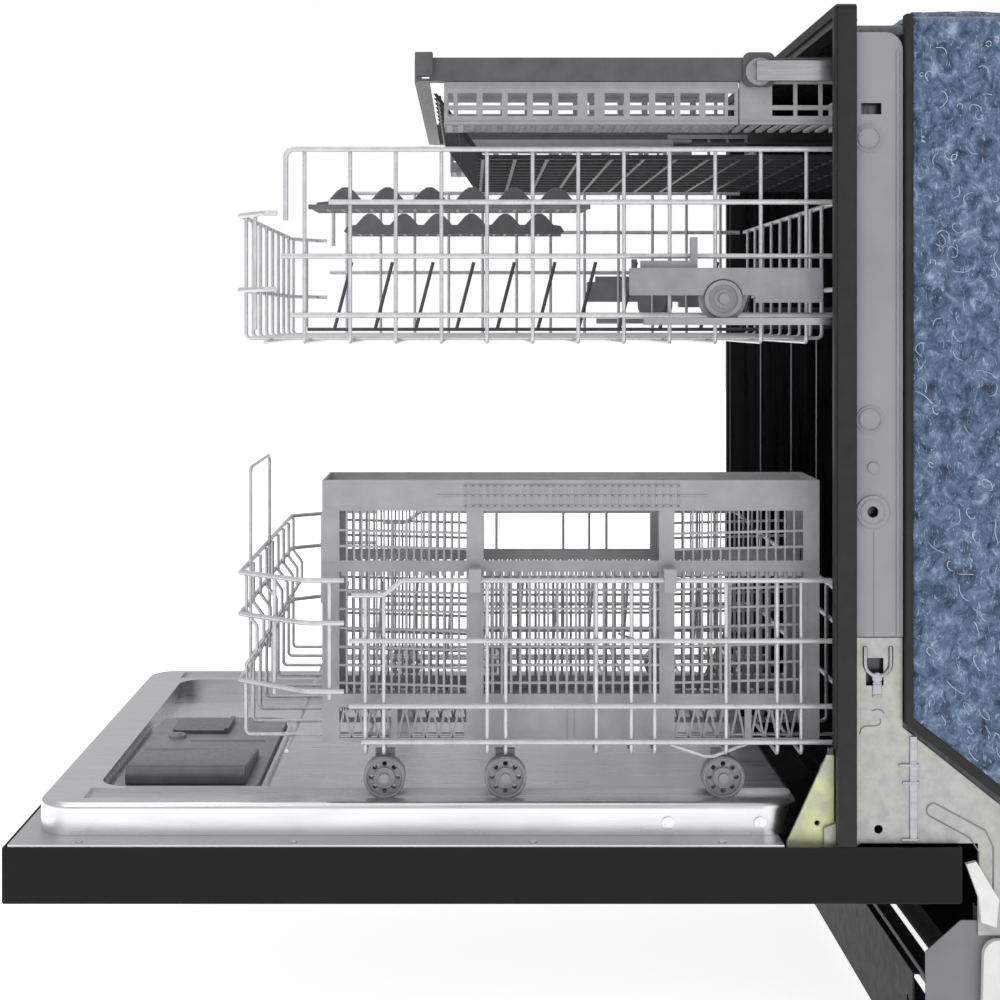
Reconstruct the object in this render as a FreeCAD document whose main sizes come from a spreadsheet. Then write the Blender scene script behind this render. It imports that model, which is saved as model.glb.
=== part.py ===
import FreeCAD, Part

import math
import os

import Sketcher
from FreeCAD import Placement, Rotation, Vector

# A 24-inch built-in dishwasher with its door open flat and its three racks pulled out.
# Everything is drawn in the tub's own axes: x from the middle to the right, y from the front
# face of the tub's trim to the back, z up from the floor. Every sub-part is then shifted along
# y, so that the origin is the bottom centre of the whole object.

os.makedirs("parts", exist_ok=True)
doc = FreeCAD.newDocument("dishwasher")
sheet = doc.addObject("Spreadsheet::Sheet", "Sizes")
nodes = {}


# ---------------------------------------------------------------- sizes that know their cell


class Size:
    """A length with its number and the spreadsheet expression that gives it."""

    def __init__(self, number, text):
        self.number = number
        self.text = text

    def __add__(self, other):
        return combined(self, "+", other)

    def __radd__(self, other):
        return combined(other, "+", self)

    def __sub__(self, other):
        return combined(self, "-", other)

    def __rsub__(self, other):
        return combined(other, "-", self)

    def __mul__(self, other):
        return combined(self, "*", other)

    def __truediv__(self, other):
        return combined(self, "/", other)

    def __neg__(self):
        return combined(0, "-", self)


def number(value):
    return value.number if isinstance(value, Size) else float(value)


def text(value):
    return value.text if isinstance(value, Size) else str(value)


def combined(left, sign, right):
    a = number(left)
    b = number(right)
    results = {"+": a + b, "-": a - b, "*": a * b, "/": a / b if b else 0.0}
    return Size(results[sign], f"({text(left)} {sign} {text(right)})")


def driving(alias, value, note):
    """One row of the spreadsheet: a driving dimension in millimetres."""
    row = driving.row
    driving.row += 1
    sheet.set(f"A{row}", note)
    sheet.set(f"B{row}", str(value))
    sheet.setAlias(f"B{row}", alias)
    return Size(float(value), f"Sizes.{alias}")


driving.row = 1

half_width = driving("half_width", 299, "half the width over the door and the trim")
door_reach = driving("door_reach", 659, "front trim face to the open door's far edge")
door_tail = driving("door_tail", 98, "front trim face to the open door's lower edge")
door_under = driving("door_under", 147, "underside of the open door above the floor")
door_deck = driving("door_deck", 192, "top of the open door's outer shell")
hinge_back = driving("hinge_back", -1, "door pivot behind the trim face")
hinge_up = driving("hinge_up", 196, "door pivot above the floor")
door_skin = driving("door_skin", 1.2, "thickness of the outer door sheet")
liner_half = driving("liner_half", 272, "half the width of the inner door")
liner_near = driving("liner_near", 24, "inner door's lower edge in front of the trim")
liner_far = driving("liner_far", 641, "inner door's upper edge in front of the trim")
liner_top = driving("liner_top", 220, "rim of the inner door above the floor")
liner_floor = driving("liner_floor", 205, "sunk face of the inner door above the floor")
track_level = driving("track_level", 216.5, "surface that the lower rack's wheels roll on")
liner_sheet = driving("liner_sheet", 1.2, "thickness of the inner door sheet")
liner_corner = driving("liner_corner", 30, "corner radius of the inner door")
sunk_half = driving("sunk_half", 220, "half the width of the liner's sunk middle")
sunk_far = driving("sunk_far", 600, "sunk middle's far edge in front of the trim")
sunk_near = driving("sunk_near", 64, "sunk middle's near edge in front of the trim")
sunk_corner = driving("sunk_corner", 24, "corner radius of the sunk middle")
trim_depth = driving("trim_depth", 15, "depth of the front trim")
trim_top = driving("trim_top", 858, "top of the front trim above the floor")
tub_half = driving("tub_half", 282, "half the outside width of the tub")
tub_back = driving("tub_back", 550, "outside of the tub's back wall")
tub_base = driving("tub_base", 204, "underside of the tub")
tub_top = driving("tub_top", 846, "outside of the tub's ceiling")
tub_corner = driving("tub_corner", 20, "corner radius of the tub")
tub_wall = driving("tub_wall", 1.5, "thickness of the tub's sheet")
rear_end = driving("rear_end", 558, "back of the machine behind the trim face")
band_back = driving("band_back", 53, "rear edge of the side frame")
band_top = driving("band_top", 836, "top of the side frame")
plate_top = driving("plate_top", 356, "top of the hinge plate")
blanket_out = driving("blanket_out", 298, "outer face of the side insulation")
kick_front = driving("kick_front", 64, "front of the kick panel behind the trim face")
kick_top = driving("kick_top", 86, "top of the kick panel")
wheel_radius = driving("wheel_radius", 17.2, "lower rack wheel")
wheel_axle_up = driving("wheel_axle_up", 234, "lower rack axles above the floor")
wheel_side = driving("wheel_side", 242, "lower rack wheels off the middle plane")
main_wire = driving("main_wire", 2.1, "radius of the heavy rack wire")
fine_wire = driving("fine_wire", 1.6, "radius of the light rack wire")
lower_side = driving("lower_side", 260, "lower rack's side wires off the middle plane")
lower_front = driving("lower_front", -482, "front of the lower rack, pulled out")
lower_back = driving("lower_back", 24, "back of the lower rack, pulled out")
lower_rim = driving("lower_rim", 397, "top wire of the lower rack")
lower_floor = driving("lower_floor", 256, "floor wires of the lower rack")
upper_side = driving("upper_side", 253, "upper rack's side wires off the middle plane")
upper_front = driving("upper_front", -482, "front of the upper rack, pulled out")
upper_back = driving("upper_back", 10, "back of the upper rack, pulled out")
upper_rim = driving("upper_rim", 747, "top wire of the upper rack")
upper_floor = driving("upper_floor", 590, "floor wires of the upper rack")
third_half = driving("third_half", 264, "half the width of the third rack")
third_front = driving("third_front", -335, "front of the third rack, pulled out")
third_back = driving("third_back", 148, "back of the third rack, pulled out")
third_rim = driving("third_rim", 820, "top of the third rack's band")
basket_inner = driving("basket_inner", 168, "cutlery basket's inner side off the middle plane")
basket_outer = driving("basket_outer", 245, "cutlery basket's outer side off the middle plane")
basket_front = driving("basket_front", -411, "cutlery basket's front")
basket_back = driving("basket_back", -4, "cutlery basket's back")
basket_foot = driving("basket_foot", 262, "cutlery basket's underside")
basket_top = driving("basket_top", 477, "cutlery basket's rim")
arm_middle = driving("arm_middle", 300, "spray arm axis behind the trim face")
foot_span = driving("foot_span", 250, "levelling feet off the middle plane")
bracket_span = driving("bracket_span", 200, "worktop brackets off the middle plane")

origin_shift = (door_reach - rear_end) / 2


# ---------------------------------------------------------------- small tools


def bind(thing, name, value):
    """Sets a plain number, or ties the property to its spreadsheet expression."""
    if isinstance(value, Size):
        thing.setExpression(name, value.text)


def set_size(thing, name, value):
    setattr(thing, name, number(value))
    bind(thing, name, value)


def place(thing, x, y, z, rotation=None):
    turn = rotation or Rotation()
    thing.Placement = Placement(Vector(number(x), number(y), number(z)), turn)
    bind(thing, "Placement.Base.x", x)
    bind(thing, "Placement.Base.y", y)
    bind(thing, "Placement.Base.z", z)
    return thing


def finish(label, thing):
    """Names a finished sub-part and shifts it into the object's own frame."""
    thing.Label = label
    base = thing.Placement.Base
    thing.Placement.Base = Vector(base.x, base.y + origin_shift.number, base.z)
    moved = origin_shift + base.y if base.y else origin_shift
    bind(thing, "Placement.Base.y", moved)
    nodes[label] = thing
    return thing


def new_body(name):
    return doc.addObject("PartDesign::Body", name)


def new_sketch(body, role, offset=0):
    sketch = body.newObject("Sketcher::SketchObject", "sketch")
    planes = [f for f in body.Origin.OriginFeatures if f.Role == role]
    sketch.AttachmentSupport = [(planes[0], "")]
    sketch.MapMode = "FlatFace"
    sketch.AttachmentOffset = Placement(Vector(0, 0, number(offset)), Rotation())
    bind(sketch, "AttachmentOffset.Base.z", offset)
    return sketch


def pin_point(sketch, geometry, end, u, v):
    """Ties one point of a sketch to its two coordinates."""
    for kind, axis, value in (("DistanceX", -2, u), ("DistanceY", -1, v)):
        on_axis = abs(number(value)) < 1e-9
        if on_axis:
            constrain(sketch, ("PointOnObject", geometry, end, axis))
            continue
        place_in_list = constrain(
            sketch, (kind, -1, 1, geometry, end, number(value))
        )
        bind(sketch, f"Constraints[{place_in_list}]", value)


def constrain(sketch, values):
    return sketch.addConstraint(Sketcher.Constraint(*values))


def outline(sketch, points):
    """A closed outline of straight sides through points given as (u, v)."""
    corners = [Vector(number(u), number(v), 0) for u, v in points]
    first = sketch.GeometryCount
    count = len(corners)
    for index, corner in enumerate(corners):
        sketch.addGeometry(Part.LineSegment(corner, corners[(index + 1) % count]))
    for index in range(count):
        after = first + (index + 1) % count
        constrain(sketch, ("Coincident", first + index, 2, after, 1))
    for index, (u, v) in enumerate(points):
        pin_point(sketch, first + index, 1, u, v)


def rectangle(sketch, low_u, high_u, low_v, high_v):
    outline(
        sketch,
        [(low_u, low_v), (high_u, low_v), (high_u, high_v), (low_u, high_v)],
    )


def rounded_rectangle(sketch, low_u, high_u, low_v, high_v, radius):
    """A rectangle with four tangent corner arcs, given by its arcs' centres."""
    first = sketch.GeometryCount
    size = number(radius)
    quarter = math.pi / 2
    centres = [
        (high_u - radius, high_v - radius),
        (low_u + radius, high_v - radius),
        (low_u + radius, low_v + radius),
        (high_u - radius, low_v + radius),
    ]
    ends = []
    for turn, (u, v) in enumerate(centres):
        around = Part.Circle(Vector(number(u), number(v), 0), Vector(0, 0, 1), size)
        arc = Part.ArcOfCircle(around, turn * quarter, (turn + 1) * quarter)
        sketch.addGeometry(arc)
        ends.append((arc.StartPoint, arc.EndPoint))
    for turn in range(4):
        sketch.addGeometry(Part.LineSegment(ends[turn][1], ends[(turn + 1) % 4][0]))
    for turn, (u, v) in enumerate(centres):
        pin_point(sketch, first + turn, 3, u, v)
        place_in_list = constrain(sketch, ("Radius", first + turn, size))
        bind(sketch, f"Constraints[{place_in_list}]", radius)
    for turn in range(4):
        side = first + 4 + turn
        constrain(sketch, ("Tangent", first + turn, 2, side, 1))
        constrain(sketch, ("Tangent", side, 2, first + (turn + 1) % 4, 1))


def circle(sketch, u, v, radius):
    centre = Vector(number(u), number(v), 0)
    index = sketch.addGeometry(Part.Circle(centre, Vector(0, 0, 1), number(radius)))
    pin_point(sketch, index, 3, u, v)
    place_in_list = constrain(sketch, ("Radius", index, number(radius)))
    bind(sketch, f"Constraints[{place_in_list}]", radius)


def pad(body, sketch, length):
    feature = body.newObject("PartDesign::Pad", "pad")
    feature.Profile = sketch
    set_size(feature, "Length", length)
    doc.recompute()
    return feature


def pocket(body, sketch, depth, forward=False):
    """A pocket against the sketch's normal, or along it if forward is true."""
    before = body.Shape.Volume
    feature = body.newObject("PartDesign::Pocket", "pocket")
    feature.Profile = sketch
    feature.Reversed = forward
    set_size(feature, "Length", depth)
    doc.recompute()
    if not feature.isValid() or body.Shape.Volume > before - 1e-3:
        raise ValueError("a pocket cuts nothing")
    return feature


def round_edges(body, radius, chosen):
    """Fillets the edges of the body for which chosen(edge) is true."""
    base = body.Tip
    names = [
        f"Edge{index}" for index, edge in enumerate(base.Shape.Edges, 1) if chosen(edge)
    ]
    feature = body.newObject("PartDesign::Fillet", "rounding")
    feature.Base = (base, names)
    set_size(feature, "Radius", radius)
    doc.recompute()
    if not feature.isValid():
        raise ValueError(f"a rounding of {number(radius)} mm failed")
    return feature


def runs_along(edge, axis):
    """Whether an edge is straight and parallel to an axis, given as 0, 1 or 2."""
    if edge.Curve.TypeId != "Part::GeomLine":
        return False
    return abs(edge.Curve.Direction[axis]) > 0.999


def plate(name, role, low, thickness, points):
    """A body of one flat plate: an outline padded from low by its thickness."""
    body = new_body(name)
    sketch = new_sketch(body, role, low)
    outline(sketch, points)
    pad(body, sketch, thickness)
    return body


def cut_holes(body, role, offset, depth, holes, forward=False):
    """Round holes, each given as (u, v, radius), in one pocket."""
    sketch = new_sketch(body, role, offset)
    for u, v, radius in holes:
        circle(sketch, u, v, radius)
    return pocket(body, sketch, depth, forward)


def cut_box(body, role, offset, depth, low_u, high_u, low_v, high_v, forward=False):
    sketch = new_sketch(body, role, offset)
    rectangle(sketch, low_u, high_u, low_v, high_v)
    return pocket(body, sketch, depth, forward)


def add_box(body, role, offset, length, low_u, high_u, low_v, high_v):
    sketch = new_sketch(body, role, offset)
    rectangle(sketch, low_u, high_u, low_v, high_v)
    return pad(body, sketch, length)


def block(low_x, high_x, low_y, high_y, low_z, high_z):
    thing = doc.addObject("Part::Box", "block")
    set_size(thing, "Length", high_x - low_x)
    set_size(thing, "Width", high_y - low_y)
    set_size(thing, "Height", high_z - low_z)
    return place(thing, low_x, low_y, low_z)


def cylinder(x, y, z, radius, length, toward=Vector(0, 0, 1)):
    thing = doc.addObject("Part::Cylinder", "cylinder")
    set_size(thing, "Radius", radius)
    set_size(thing, "Height", length)
    return place(thing, x, y, z, Rotation(Vector(0, 0, 1), toward))


def fused(things):
    joined = doc.addObject("Part::MultiFuse", "joined")
    joined.Shapes = things
    return joined


def cut(base, tool):
    result = doc.addObject("Part::Cut", "cut")
    result.Base = base
    result.Tool = tool
    return result


def mirrored(thing):
    """The same piece on the other side of the middle plane."""
    copy = doc.addObject("Part::Mirroring", "mirrored")
    copy.Source = thing
    copy.Normal = Vector(1, 0, 0)
    return copy


def group(things):
    together = doc.addObject("Part::Compound", "group")
    together.Links = things
    return together


def pair(thing):
    return group([thing, mirrored(thing)])


def computed(shape):
    thing = doc.addObject("Part::Feature", "computed")
    thing.Shape = shape
    return thing


# ---------------------------------------------------------------- wire work

ALONG_X = Vector(1, 0, 0)
ALONG_Y = Vector(0, 1, 0)
BEND = 7.0


def path(points, bend):
    """Straight runs through the points, with a tangent arc at each inner one."""
    edges = []
    start = points[0]
    for before, corner, after in zip(points, points[1:], points[2:]):
        back = (before - corner).normalize()
        ahead = (after - corner).normalize()
        half = back.getAngle(ahead) / 2
        room = 0.45 * min(before.distanceToPoint(corner), after.distanceToPoint(corner))
        reach = min(bend / math.tan(half), room)
        radius = reach * math.tan(half)
        inward = (back + ahead).normalize()
        middle = corner + inward * (radius / math.sin(half) - radius)
        arc_start = corner + back * reach
        arc_end = corner + ahead * reach
        edges.append(Part.LineSegment(start, arc_start).toShape())
        edges.append(Part.Arc(arc_start, middle, arc_end).toShape())
        start = arc_end
    edges.append(Part.LineSegment(start, points[-1]).toShape())
    return Part.Wire(edges)


def rod(points, radius, bend=BEND):
    """A round wire of one radius along a bent path."""
    points = [Vector(*p) for p in points]
    radius = number(radius)
    direction = points[1] - points[0]
    if len(points) == 2:
        return Part.makeCylinder(radius, direction.Length, points[0], direction)
    ring = Part.Wire(Part.makeCircle(radius, points[0], direction))
    return path(points, bend).makePipeShell([ring], True, False)


def welded(rods):
    """One solid from wires that cross and are welded where they touch."""
    shape = rods[0].multiFuse(rods[1:])
    if len(shape.Solids) != 1:
        print("welded wires fall into", [s.BoundBox for s in shape.Solids])
    return shape


def mirror_shape(shape):
    return shape.mirror(Vector(0, 0, 0), ALONG_X)


def spread(first, last, count):
    return [first + (last - first) * i / (count - 1) for i in range(count)]


# Wires of two layers sink this much into each other at a weld.
WELD = 0.5
# Separate pieces of one rack stand this far apart.
GAP = 0.05


def rack_side(side, rails, posts, floor_level):
    """One side of a rack: heavy rails outside, light posts inside that turn in at the floor."""
    heavy = number(main_wire)
    light = number(fine_wire)
    inner = side - heavy - light + WELD
    rods = []
    for rail in rails:
        rods.append(rod([(side, y, z) for y, z in rail], heavy))
    for y, top in posts:
        points = [(inner, y, top), (inner, y, floor_level), (inner - 9, y, floor_level)]
        rods.append(rod(points, light, 6.0))
    return welded(rods)


def rack_floor(side, front, back, level, cross_at, long_at):
    """The floor of a rack: wires across, and wires front to back that lie on them."""
    light = number(fine_wire)
    end = side - number(main_wire) - light + WELD - 9 - GAP
    above = level + 2 * light - WELD
    rods = [rod([(-end, y, level), (end, y, level)], light) for y in cross_at]
    rods += [rod([(x, front, above), (x, back, above)], light) for x in long_at]
    return welded(rods)


# ---------------------------------------------------------------- tub and front


def make_tub():
    """The steel tub: a deep box open at the front, with the wheel ledges along its floor."""
    body = new_body("tub")
    sketch = new_sketch(body, "XZ_Plane", -tub_back)
    rounded_rectangle(sketch, -tub_half, tub_half, tub_base, tub_top, tub_corner)
    pad(body, sketch, tub_back - trim_depth)
    inner = tub_half - tub_wall
    sketch = new_sketch(body, "XZ_Plane", -trim_depth)
    rounded_rectangle(
        sketch,
        -inner,
        inner,
        tub_base + tub_wall,
        tub_top - tub_wall,
        tub_corner - tub_wall,
    )
    pocket(body, sketch, tub_back - trim_depth - tub_wall)
    for low, high in ((226, 260), (-260, -226)):
        add_box(
            body,
            "XZ_Plane",
            tub_wall - tub_back,
            tub_back - tub_wall - trim_depth - 1,
            low,
            high,
            tub_base + tub_wall - 0.5,
            track_level,
        )
    cut_holes(body, "XY_Plane", 212, 20, [(0, arm_middle, 58)])
    return finish("tub_shell", body)


def make_front_trim():
    """The upside-down U of trim round the mouth of the tub, notched for the hinge arms."""
    inner = half_width - 19
    opening_top = trim_top - 16
    points = [
        (-half_width, door_deck + 0.5),
        (-inner, door_deck + 0.5),
        (-inner, opening_top),
        (inner, opening_top),
        (inner, door_deck + 0.5),
        (half_width, door_deck + 0.5),
        (half_width, trim_top),
        (-half_width, trim_top),
    ]
    body = plate("trim", "XZ_Plane", -trim_depth, trim_depth, points)
    for low, high in ((281.2, 290.5), (-290.5, -281.2)):
        cut_box(body, "XZ_Plane", 1, 20, low, high, 180, 268)
    round_edges(body, 5, lambda e: runs_along(e, 1) and is_top_corner(e))
    return finish("front_trim", body)


def is_top_corner(edge):
    at = edge.Vertexes[0].Point
    return at.z > number(trim_top) - 0.1


def make_door_seal():
    """The rubber lip in front of the trim that the closed door presses on."""
    outer = half_width - 1
    inner = half_width - 9
    foot = 270
    points = [
        (-outer, foot),
        (-inner, foot),
        (-inner, trim_top - 10),
        (inner, trim_top - 10),
        (inner, foot),
        (outer, foot),
        (outer, trim_top - 2),
        (-outer, trim_top - 2),
    ]
    body = plate("seal", "XZ_Plane", 0.0, 2.6, points)
    return finish("door_seal", body)


def make_side_frames():
    """A pressed channel up each side of the tub's mouth, with its rivets and bosses."""
    low = plate_top + 1
    web = [
        (trim_depth + 0.5, low),
        (band_back, low),
        (band_back, band_top),
        (trim_depth + 0.5, band_top),
    ]
    body = plate("side_frame", "YZ_Plane", 290, 1.5, web)
    round_edges(
        body,
        14,
        lambda e: runs_along(e, 0) and at_corner(e, band_back, band_top),
    )
    lip = band_back - 1.2
    add_box(body, "YZ_Plane", 284, 6.2, lip, band_back, low, band_top - 14)
    add_box(body, "YZ_Plane", 291, 2, lip - 4, lip - 2.5, low, band_top - 14)
    for y, z, radius, height in (
        (26, 752, 11, 1.0),
        (27, 529, 11, 1.0),
        (29, 491, 4, 2.2),
        (29, 456, 12.8, 1.6),
    ):
        sketch = new_sketch(body, "YZ_Plane", 291)
        circle(sketch, y, z, radius)
        pad(body, sketch, 0.5 + height)
    cut_holes(body, "YZ_Plane", 296, 12, [(29, 456, 4.5)])
    cut_box(body, "YZ_Plane", 296, 12, 20, 36, 771, 780)
    return finish("side_frames", pair(body))


def at_corner(edge, y, z):
    at = edge.Vertexes[0].Point
    return abs(at.y - number(y)) < 0.1 and abs(at.z - number(z)) < 0.1


def make_blanket():
    """Felt insulation round the tub: two sides, a top and a back, each a plain pad."""
    side = [
        (band_back + 2, 290),
        (band_back + 2, tub_top + 3),
        (540, tub_top + 3),
        (540, 192),
        (160, 192),
        (140, 223),
    ]
    near = plate("blanket_side", "YZ_Plane", 283, blanket_out - 283, side)
    top = block(-280, 280, 60, 536, tub_top + 0.5, tub_top + 11)
    back = block(-278, 278, tub_back + 0.5, rear_end, 230, tub_top - 10)
    return finish("insulation_blanket", group([near, mirrored(near), top, back]))


def make_hinge_plates():
    """The galvanised plate each side that carries the door's pivot pin."""
    points = [
        (-9, 187),
        (12, 187),
        (20, door_deck + 1),
        (113, door_deck + 1),
        (113, 120),
        (132, 120),
        (132, 222),
        (band_back, 285),
        (band_back, plate_top),
        (trim_depth + 1, plate_top),
        (trim_depth + 1, 214),
        (-9, 205),
    ]
    body = plate("hinge_plate", "YZ_Plane", 288, 2, points)
    sketch = new_sketch(body, "YZ_Plane", 281.8)
    circle(sketch, hinge_back, hinge_up, 4)
    pad(body, sketch, 6.4)
    cut_holes(body, "YZ_Plane", 294, 10, [(34, 204, 3.5)])
    cut_box(body, "YZ_Plane", 294, 10, 24, 38, 318, 340)
    return finish("hinge_plates", pair(body))


def make_hinge_arms():
    """The arm each side that ties the door to its pivot."""
    points = [
        (-38, 160),
        (10, 160),
        (10, 203),
        (-0.6, 209),
        (-0.6, 262),
        (-6, 262),
        (-38, door_deck + 0.4),
    ]
    body = plate("hinge_arm", "YZ_Plane", 283.4, 3, points)
    cut_holes(
        body, "YZ_Plane", 290, 12, [(hinge_back, hinge_up, 4.08), (-14, 208, 2.2)]
    )
    return finish("hinge_arms", pair(body))


# ---------------------------------------------------------------- base


def make_base_frame():
    """Two side plates joined by a rear plate, a front rail and the feet's two cross rails."""
    points = [
        (72, 18),
        (540, 18),
        (540, 190),
        (114, 190),
        (114, 131),
        (100, 131),
        (72, 106),
    ]
    side = plate("base_side", "YZ_Plane", 286, 1.6, points)
    cut_holes(side, "YZ_Plane", 294, 12, [(88, 62, 2.5)])
    ports = group(
        [cylinder(-216, 535, 135, 15, 20, ALONG_Y), cylinder(200, 535, 120, 19, 20, ALONG_Y)]
    )
    rear = cut(block(-285.9, 285.9, 541, 543, 18, 190), ports)
    rail = block(-285.9, 285.9, 112, 126, 22, 30)
    front_feet = block(-285.9, 285.9, 74, 104, 22, 25)
    back_feet = block(-285.9, 285.9, 495, 515, 26.2, 30)
    return finish(
        "base_frame", group([side, mirrored(side), rear, rail, front_feet, back_feet])
    )


def make_base_tray():
    body = plate(
        "tray", "XY_Plane", 32, 30, [(-280, 130), (280, 130), (280, 536), (-280, 536)]
    )
    round_edges(body, 12, lambda e: runs_along(e, 2))
    cut_box(body, "XY_Plane", 34.5, 30, -277.5, 277.5, 132.5, 533.5, forward=True)
    return finish("base_tray", body)


def make_kick_panel():
    points = [(-278, 8), (278, 8), (278, kick_top), (-278, kick_top)]
    body = plate("kick", "XZ_Plane", -(kick_front + 1.5), 1.5, points)
    add_box(body, "XZ_Plane", -(kick_front + 6), 5, -278, 278, kick_top - 1.5, kick_top)
    cut_holes(body, "XZ_Plane", -60, 12, [(-262, 60, 3), (262, 60, 3)])
    return finish("kick_panel", body)


def make_feet():
    feet = []
    for x in (-foot_span, foot_span):
        for y in (84, 505):
            pad_disc = cylinder(x, y, 0, 17, 8)
            stem = cylinder(x, y, 7, 5, 14.8 if y < 100 else 19)
            feet.append(fused([pad_disc, stem]))
    return finish("levelling_feet", group(feet))


# ---------------------------------------------------------------- wet parts under the tub


def make_sump():
    """The funnel under the tub with its filter well, and the port to each pump."""
    body = new_body("sump")
    sketch = new_sketch(body, "XZ_Plane", 0)
    outline(
        sketch,
        [
            (0, 96),
            (52, 96),
            (56, 150),
            (82, 186),
            (82, 203),
            (57.5, 203),
            (57.5, 205),
            (54.5, 205),
            (54.5, 190),
            (49, 152),
            (46, 100),
            (0, 100),
        ],
    )
    revolution = body.newObject("PartDesign::Revolution", "turned")
    revolution.Profile = sketch
    revolution.ReferenceAxis = (sketch, ["V_Axis"])
    revolution.Angle = 360
    doc.recompute()
    place(body, 0, arm_middle, 0)
    return finish("sump", body)


def make_filter_cup():
    """The filter that lifts out of the sump after a quarter turn."""
    wall = cylinder(0, 0, 104, 34, 108)
    hollow = cylinder(0, 0, 106, 32, 110)
    handle = fused([block(-33, 33, -3, 3, 196, 212), cylinder(0, 0, 196, 8, 16)])
    cup = fused([cut(wall, hollow), handle])
    place(cup, 0, arm_middle, 0)
    return finish("filter_cup", cup)


def make_filter_plate():
    """The flat steel sieve round the filter cup."""
    holes = [cylinder(0, 0, 205, 36, 4)]
    for radius in (68, 80):
        for step in range(24):
            angle = math.radians(15 * step)
            holes.append(cylinder(radius * math.cos(angle), radius * math.sin(angle), 205, 2, 4))
    sieve = cut(cylinder(0, 0, 206, 90, 1.2), group(holes))
    place(sieve, 0, arm_middle, 0)
    return finish("filter_plate", sieve)


def make_circulation_pump():
    motor = cylinder(70, 235, 105, 40, 90, ALONG_X)
    volute = cylinder(58, 235, 105, 48, 12, ALONG_X)
    return finish("circulation_pump", fused([motor, volute]))


def make_drain_pump():
    motor = cylinder(-150, 250, 80, 24, 70, ALONG_X)
    head = cylinder(-80, 250, 80, 30, 14, ALONG_X)
    return finish("drain_pump", fused([motor, head]))


def make_inlet_valve():
    """The water valve at the back, whose 3/4-inch thread takes the supply hose."""
    valve_box = block(-236, -196, 470, 530, 110, 160)
    thread = cylinder(-216, 530, 135, 13.2, 26, ALONG_Y)
    bore = cylinder(-216, 520, 135, 8, 40, ALONG_Y)
    return finish("inlet_valve", cut(fused([valve_box, thread]), bore))


def make_drain_outlet():
    """The elbow at the back that takes the drain hose."""
    pipe = cylinder(200, 470, 120, 11, 86, ALONG_Y)
    collar = cylinder(200, 500, 120, 18, 8, ALONG_Y)
    bore = cylinder(200, 460, 120, 8.5, 110, ALONG_Y)
    return finish("drain_outlet", cut(fused([pipe, collar]), bore))


def make_terminal_box():
    shell = block(180, 270, 140, 230, 64, 110)
    hollow = block(182, 268, 142, 228, 66, 108)
    gland = cut(cylinder(225, 126, 87, 11, 14.5, ALONG_Y), cylinder(225, 120, 87, 6, 30, ALONG_Y))
    return finish("terminal_box", fused([cut(shell, hollow), gland]))


# ---------------------------------------------------------------- spray arms and water feed


POST_RADIUS = 7.5
POST_FIT = 0.3


def spray_arm(reach, width, low, high, fed_from_above):
    """A flat blade with round tips and rows of jets, and a blind bore for its post."""
    half = width / 2
    blade = [
        block(-reach + half, reach - half, -half, half, low, high),
        cylinder(reach - half, 0, low, half, high - low),
        cylinder(half - reach, 0, low, half, high - low),
        cylinder(0, 0, low, width * 0.75, high - low),
    ]
    hub_low = low if fed_from_above else low - 4
    bore_low = low + 2 if fed_from_above else low - 6
    blade.append(cylinder(0, 0, hub_low, 15, high - low + 4))
    bores = [cylinder(0, 0, bore_low, POST_RADIUS + POST_FIT, high - low + 4)]
    for side in (-1, 1):
        for step in range(4):
            along = side * (reach - 24 - 30 * step)
            across = 0.2 * width * (1 if step % 2 else -1)
            bores.append(cylinder(along, across, low - 1, 1.8, high - low + 2))
    return cut(fused(blade), group(bores))


def make_spray_arms():
    for label, reach, width, low, high, above in (
        ("lower_spray_arm", 222, 44, 226, 238, False),
        ("middle_spray_arm", 200, 38, 556, 566, False),
        ("top_spray_arm", 140, 34, 822, 829, True),
    ):
        arm = spray_arm(reach, width, low, high, above)
        place(arm, 0, arm_middle, 0)
        finish(label, arm)


def make_water_feed():
    """The pipe up the back wall, its branch to each upper arm, and the lower arm's post."""
    back = number(tub_back) - number(tub_wall) - 9
    middle = number(arm_middle)
    rods = [
        rod([(0, back, 214), (0, back, 840), (0, middle, 840)], 4, 12),
        rod([(0, back, 545), (0, middle, 545)], 5),
        rod([(0, middle, 540), (0, middle, 561)], POST_RADIUS),
        rod([(0, middle, 825), (0, middle, 843)], POST_RADIUS),
        rod([(0, back, 216), (0, 400, 216)], 4),
    ]
    post = cylinder(0, 0, 213, POST_RADIUS, 18)
    pieces = [post, block(-52, 52, -4, 4, 214, 218), block(-4, 4, -52, 52, 214, 218)]
    pieces += [block(x - 3, x + 3, -4, 4, 207.4, 216) for x in (-49, 49)]
    spider = fused(pieces)
    place(spider, 0, arm_middle, 0)
    return finish("water_feed", group([computed(welded(rods)), spider]))


# ---------------------------------------------------------------- door


def make_door_panel():
    """The outer door: a folded sheet tray, open towards the tub."""
    points = [
        (-half_width, -door_reach),
        (half_width, -door_reach),
        (half_width, door_tail),
        (-half_width, door_tail),
    ]
    body = plate("door", "XY_Plane", door_under, door_deck - door_under, points)
    round_edges(body, 2.5, lambda e: is_low_edge(e))
    wide = half_width - door_skin
    cut_box(
        body,
        "XY_Plane",
        door_under + door_skin,
        100,
        -wide,
        wide,
        door_skin - door_reach,
        door_tail - door_skin,
        forward=True,
    )
    cut_box(body, "XY_Plane", 160, 30, -286, 286, -648, -578)
    cut_box(body, "XY_Plane", 160, 30, -150, 150, -570, -520)
    return finish("door_panel", body)


def is_low_edge(edge):
    low = number(door_under)
    return all(abs(v.Point.z - low) < 0.01 for v in edge.Vertexes)


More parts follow.
